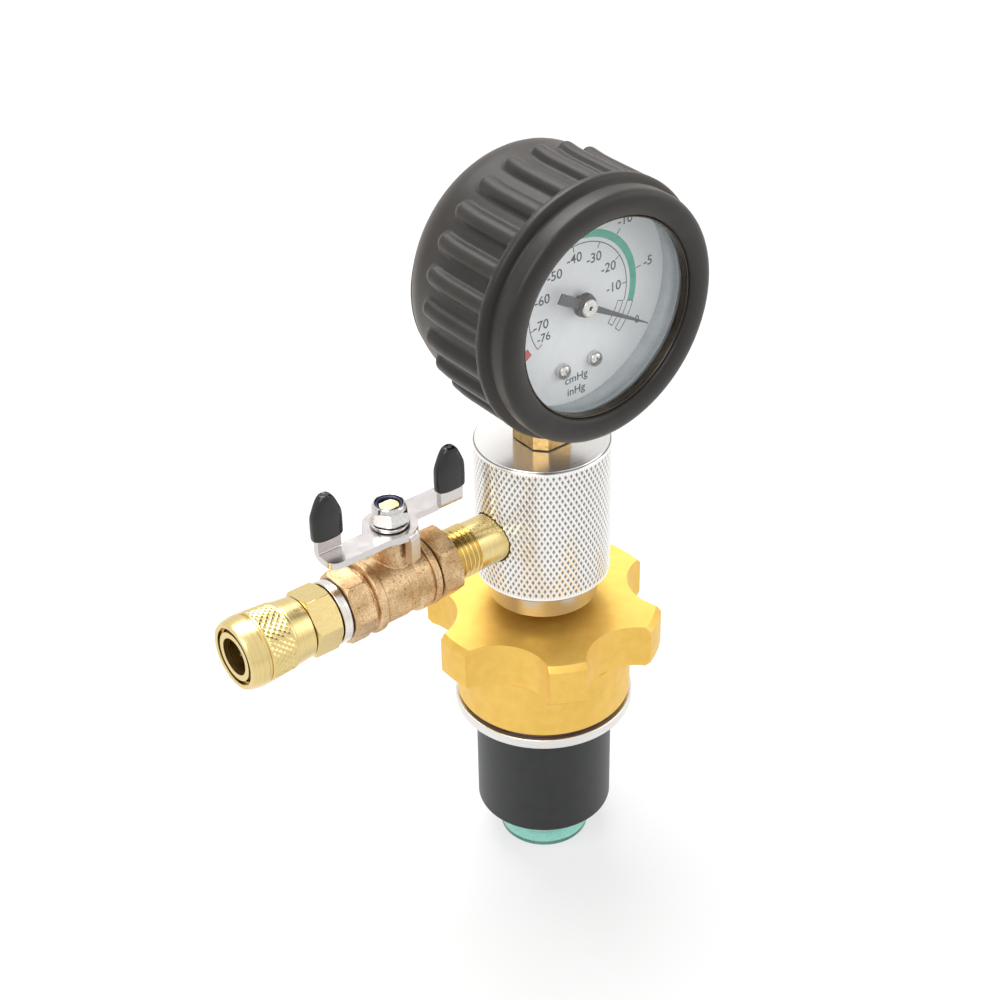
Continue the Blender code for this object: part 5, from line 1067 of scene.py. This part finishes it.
turn = Matrix.Rotation(math.radians(NEEDLE_REST), 4, "Z")
bmesh.ops.transform(needle, matrix=turn, verts=needle.verts)
needle = placed("needle", eased(needle, 0.06, 30), paint, GAUGE)
hub = placed("needle_hub", eased(hub, 0.08), dark_plate, GAUGE)
cap = turned(
    [
        (0.45, 17.3), (2.3, 17.3), (2.3, 17.6), (2.0, 17.95), (0.9, 18.05), (0.6, 17.95),
        (0.45, 17.7),
    ],
    steps=64,
)
cap = placed("hub_cap", eased(cap, 0.05), nickel, GAUGE)
for piece, node, slot in (
    (needle, "pointer", "pointer_dark"),
    (hub, "pointer", "pointer_dark"),
    (cap, "pointer_hub", "nickel"),
):
    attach(piece, "pointer_set")
    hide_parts(node)


# Movement: the flattened bronze tube, its brass plates and pillars, the toothed sector
# and the arbor, hidden behind the dial. They are the solids of the frame.
for node in (
    "bourdon_tube", "movement_back_plate", "movement_front_plate", "movement_pillar_left",
    "movement_pillar_right", "link_bar", "sector_gear", "pointer_arbor",
):
    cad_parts[node].material_slots[0].material = brass


# Floor and light: a plain white table that keeps the tool's soft shadow, a white room
# and three large soft lamps, whose places and widths are in metres and powers in watts.
def seen(look):
    """1 where a surface is looked at, straight, in a shiny piece or through a clear one."""
    share = 0.0
    for kind in ("Is Camera Ray", "Is Glossy Ray", "Is Transmission Ray"):
        ray = add(look, "LightPath", out=kind)
        share = add(look, "Math", {0: share, 1: ray}, operation="MAXIMUM")
    return share


FLOOR_LEVEL = -45.3
WHITE_SHARE = 0.62
ROOM_LIGHT = 0.36
table, shader = finish("white laminate", "F4F6F6", 0, 0.6)
# White laminate: plain and matt, with a faint haze 33 mm wide. What the camera and shiny
# pieces see of it is lifted to white, and a share of its own shading stays for the shadow.
haze = add(
    table, "TexNoise", {"Vector": add(table, "TexCoord", out="Object"), "Scale": 1 / (33.3 * MM)}
)
add(
    table, "MapRange", {"Value": haze, "To Min": 0.55, "To Max": 0.65},
    shader.inputs["Roughness"],
)
share = add(table, "Math", {0: seen(table), 1: WHITE_SHARE}, operation="MULTIPLY")
white = add(table, "Emission", {"Color": "FFFFFF", "Strength": 1})
mix = add(table, "MixShader", {0: share, 1: shader.outputs[0], 2: white})
table.node_tree.links.new(mix, table.node_tree.nodes["Material Output"].inputs["Surface"])
floor = bmesh.new()
bmesh.ops.create_grid(floor, x_segments=8, y_segments=8, size=3)
floor = placed("table_top", floor, table, Matrix.Translation((0, 0, FLOOR_LEVEL * MM)))

room = bpy.data.worlds.new("white room")
bpy.context.scene.world = room
room.use_nodes = True
background = room.node_tree.nodes["Background"]
background.inputs["Color"].default_value = linear("FFFFFF")
add(
    room, "MapRange", {"Value": seen(room), "To Min": ROOM_LIGHT, "To Max": 1.0},
    background.inputs["Strength"],
)

aim = Vector((0, 0, 0.05))
for name, spot, width, power in (
    ("key", (-0.7, -0.3, 0.9), 0.7, 5),
    ("fill", (0.8, -0.6, 0.5), 0.7, 2),
    ("top", (0.1, 0.4, 1.1), 0.8, 14),
):
    lamp = bpy.data.lights.new(name, "AREA")
    lamp.shape = "SQUARE"
    lamp.size = width
    lamp.energy = power
    holder = bpy.data.objects.new(name, lamp)
    holder.location = spot
    holder.rotation_euler = (aim - Vector(spot)).to_track_quat("-Z", "Y").to_euler()
    bpy.context.scene.collection.objects.link(holder)


# Camera: a 74.5 mm lens, 0.57 m away at the front left and above. Its place and
# its directions were solved from the round edges of the real tool.
optics = bpy.data.cameras.new("camera")
optics.lens = 74.5
optics.sensor_width = 36
optics.clip_start = 0.01
camera = bpy.data.objects.new("camera", optics)
spot = Vector((-278.291, -340.063, 358.533)) * MM
right = Vector((0.782535, -0.622401, -0.016017))
up = Vector((0.357672, 0.428340, 0.829817))
back = Vector((-0.509618, -0.655090, 0.557806))
camera.matrix_world = Matrix.Translation(spot) @ Matrix((right, up, back)).transposed().to_4x4()
bpy.context.scene.collection.objects.link(camera)
bpy.context.scene.camera = camera
bpy.context.scene.view_settings.view_transform = "Standard"
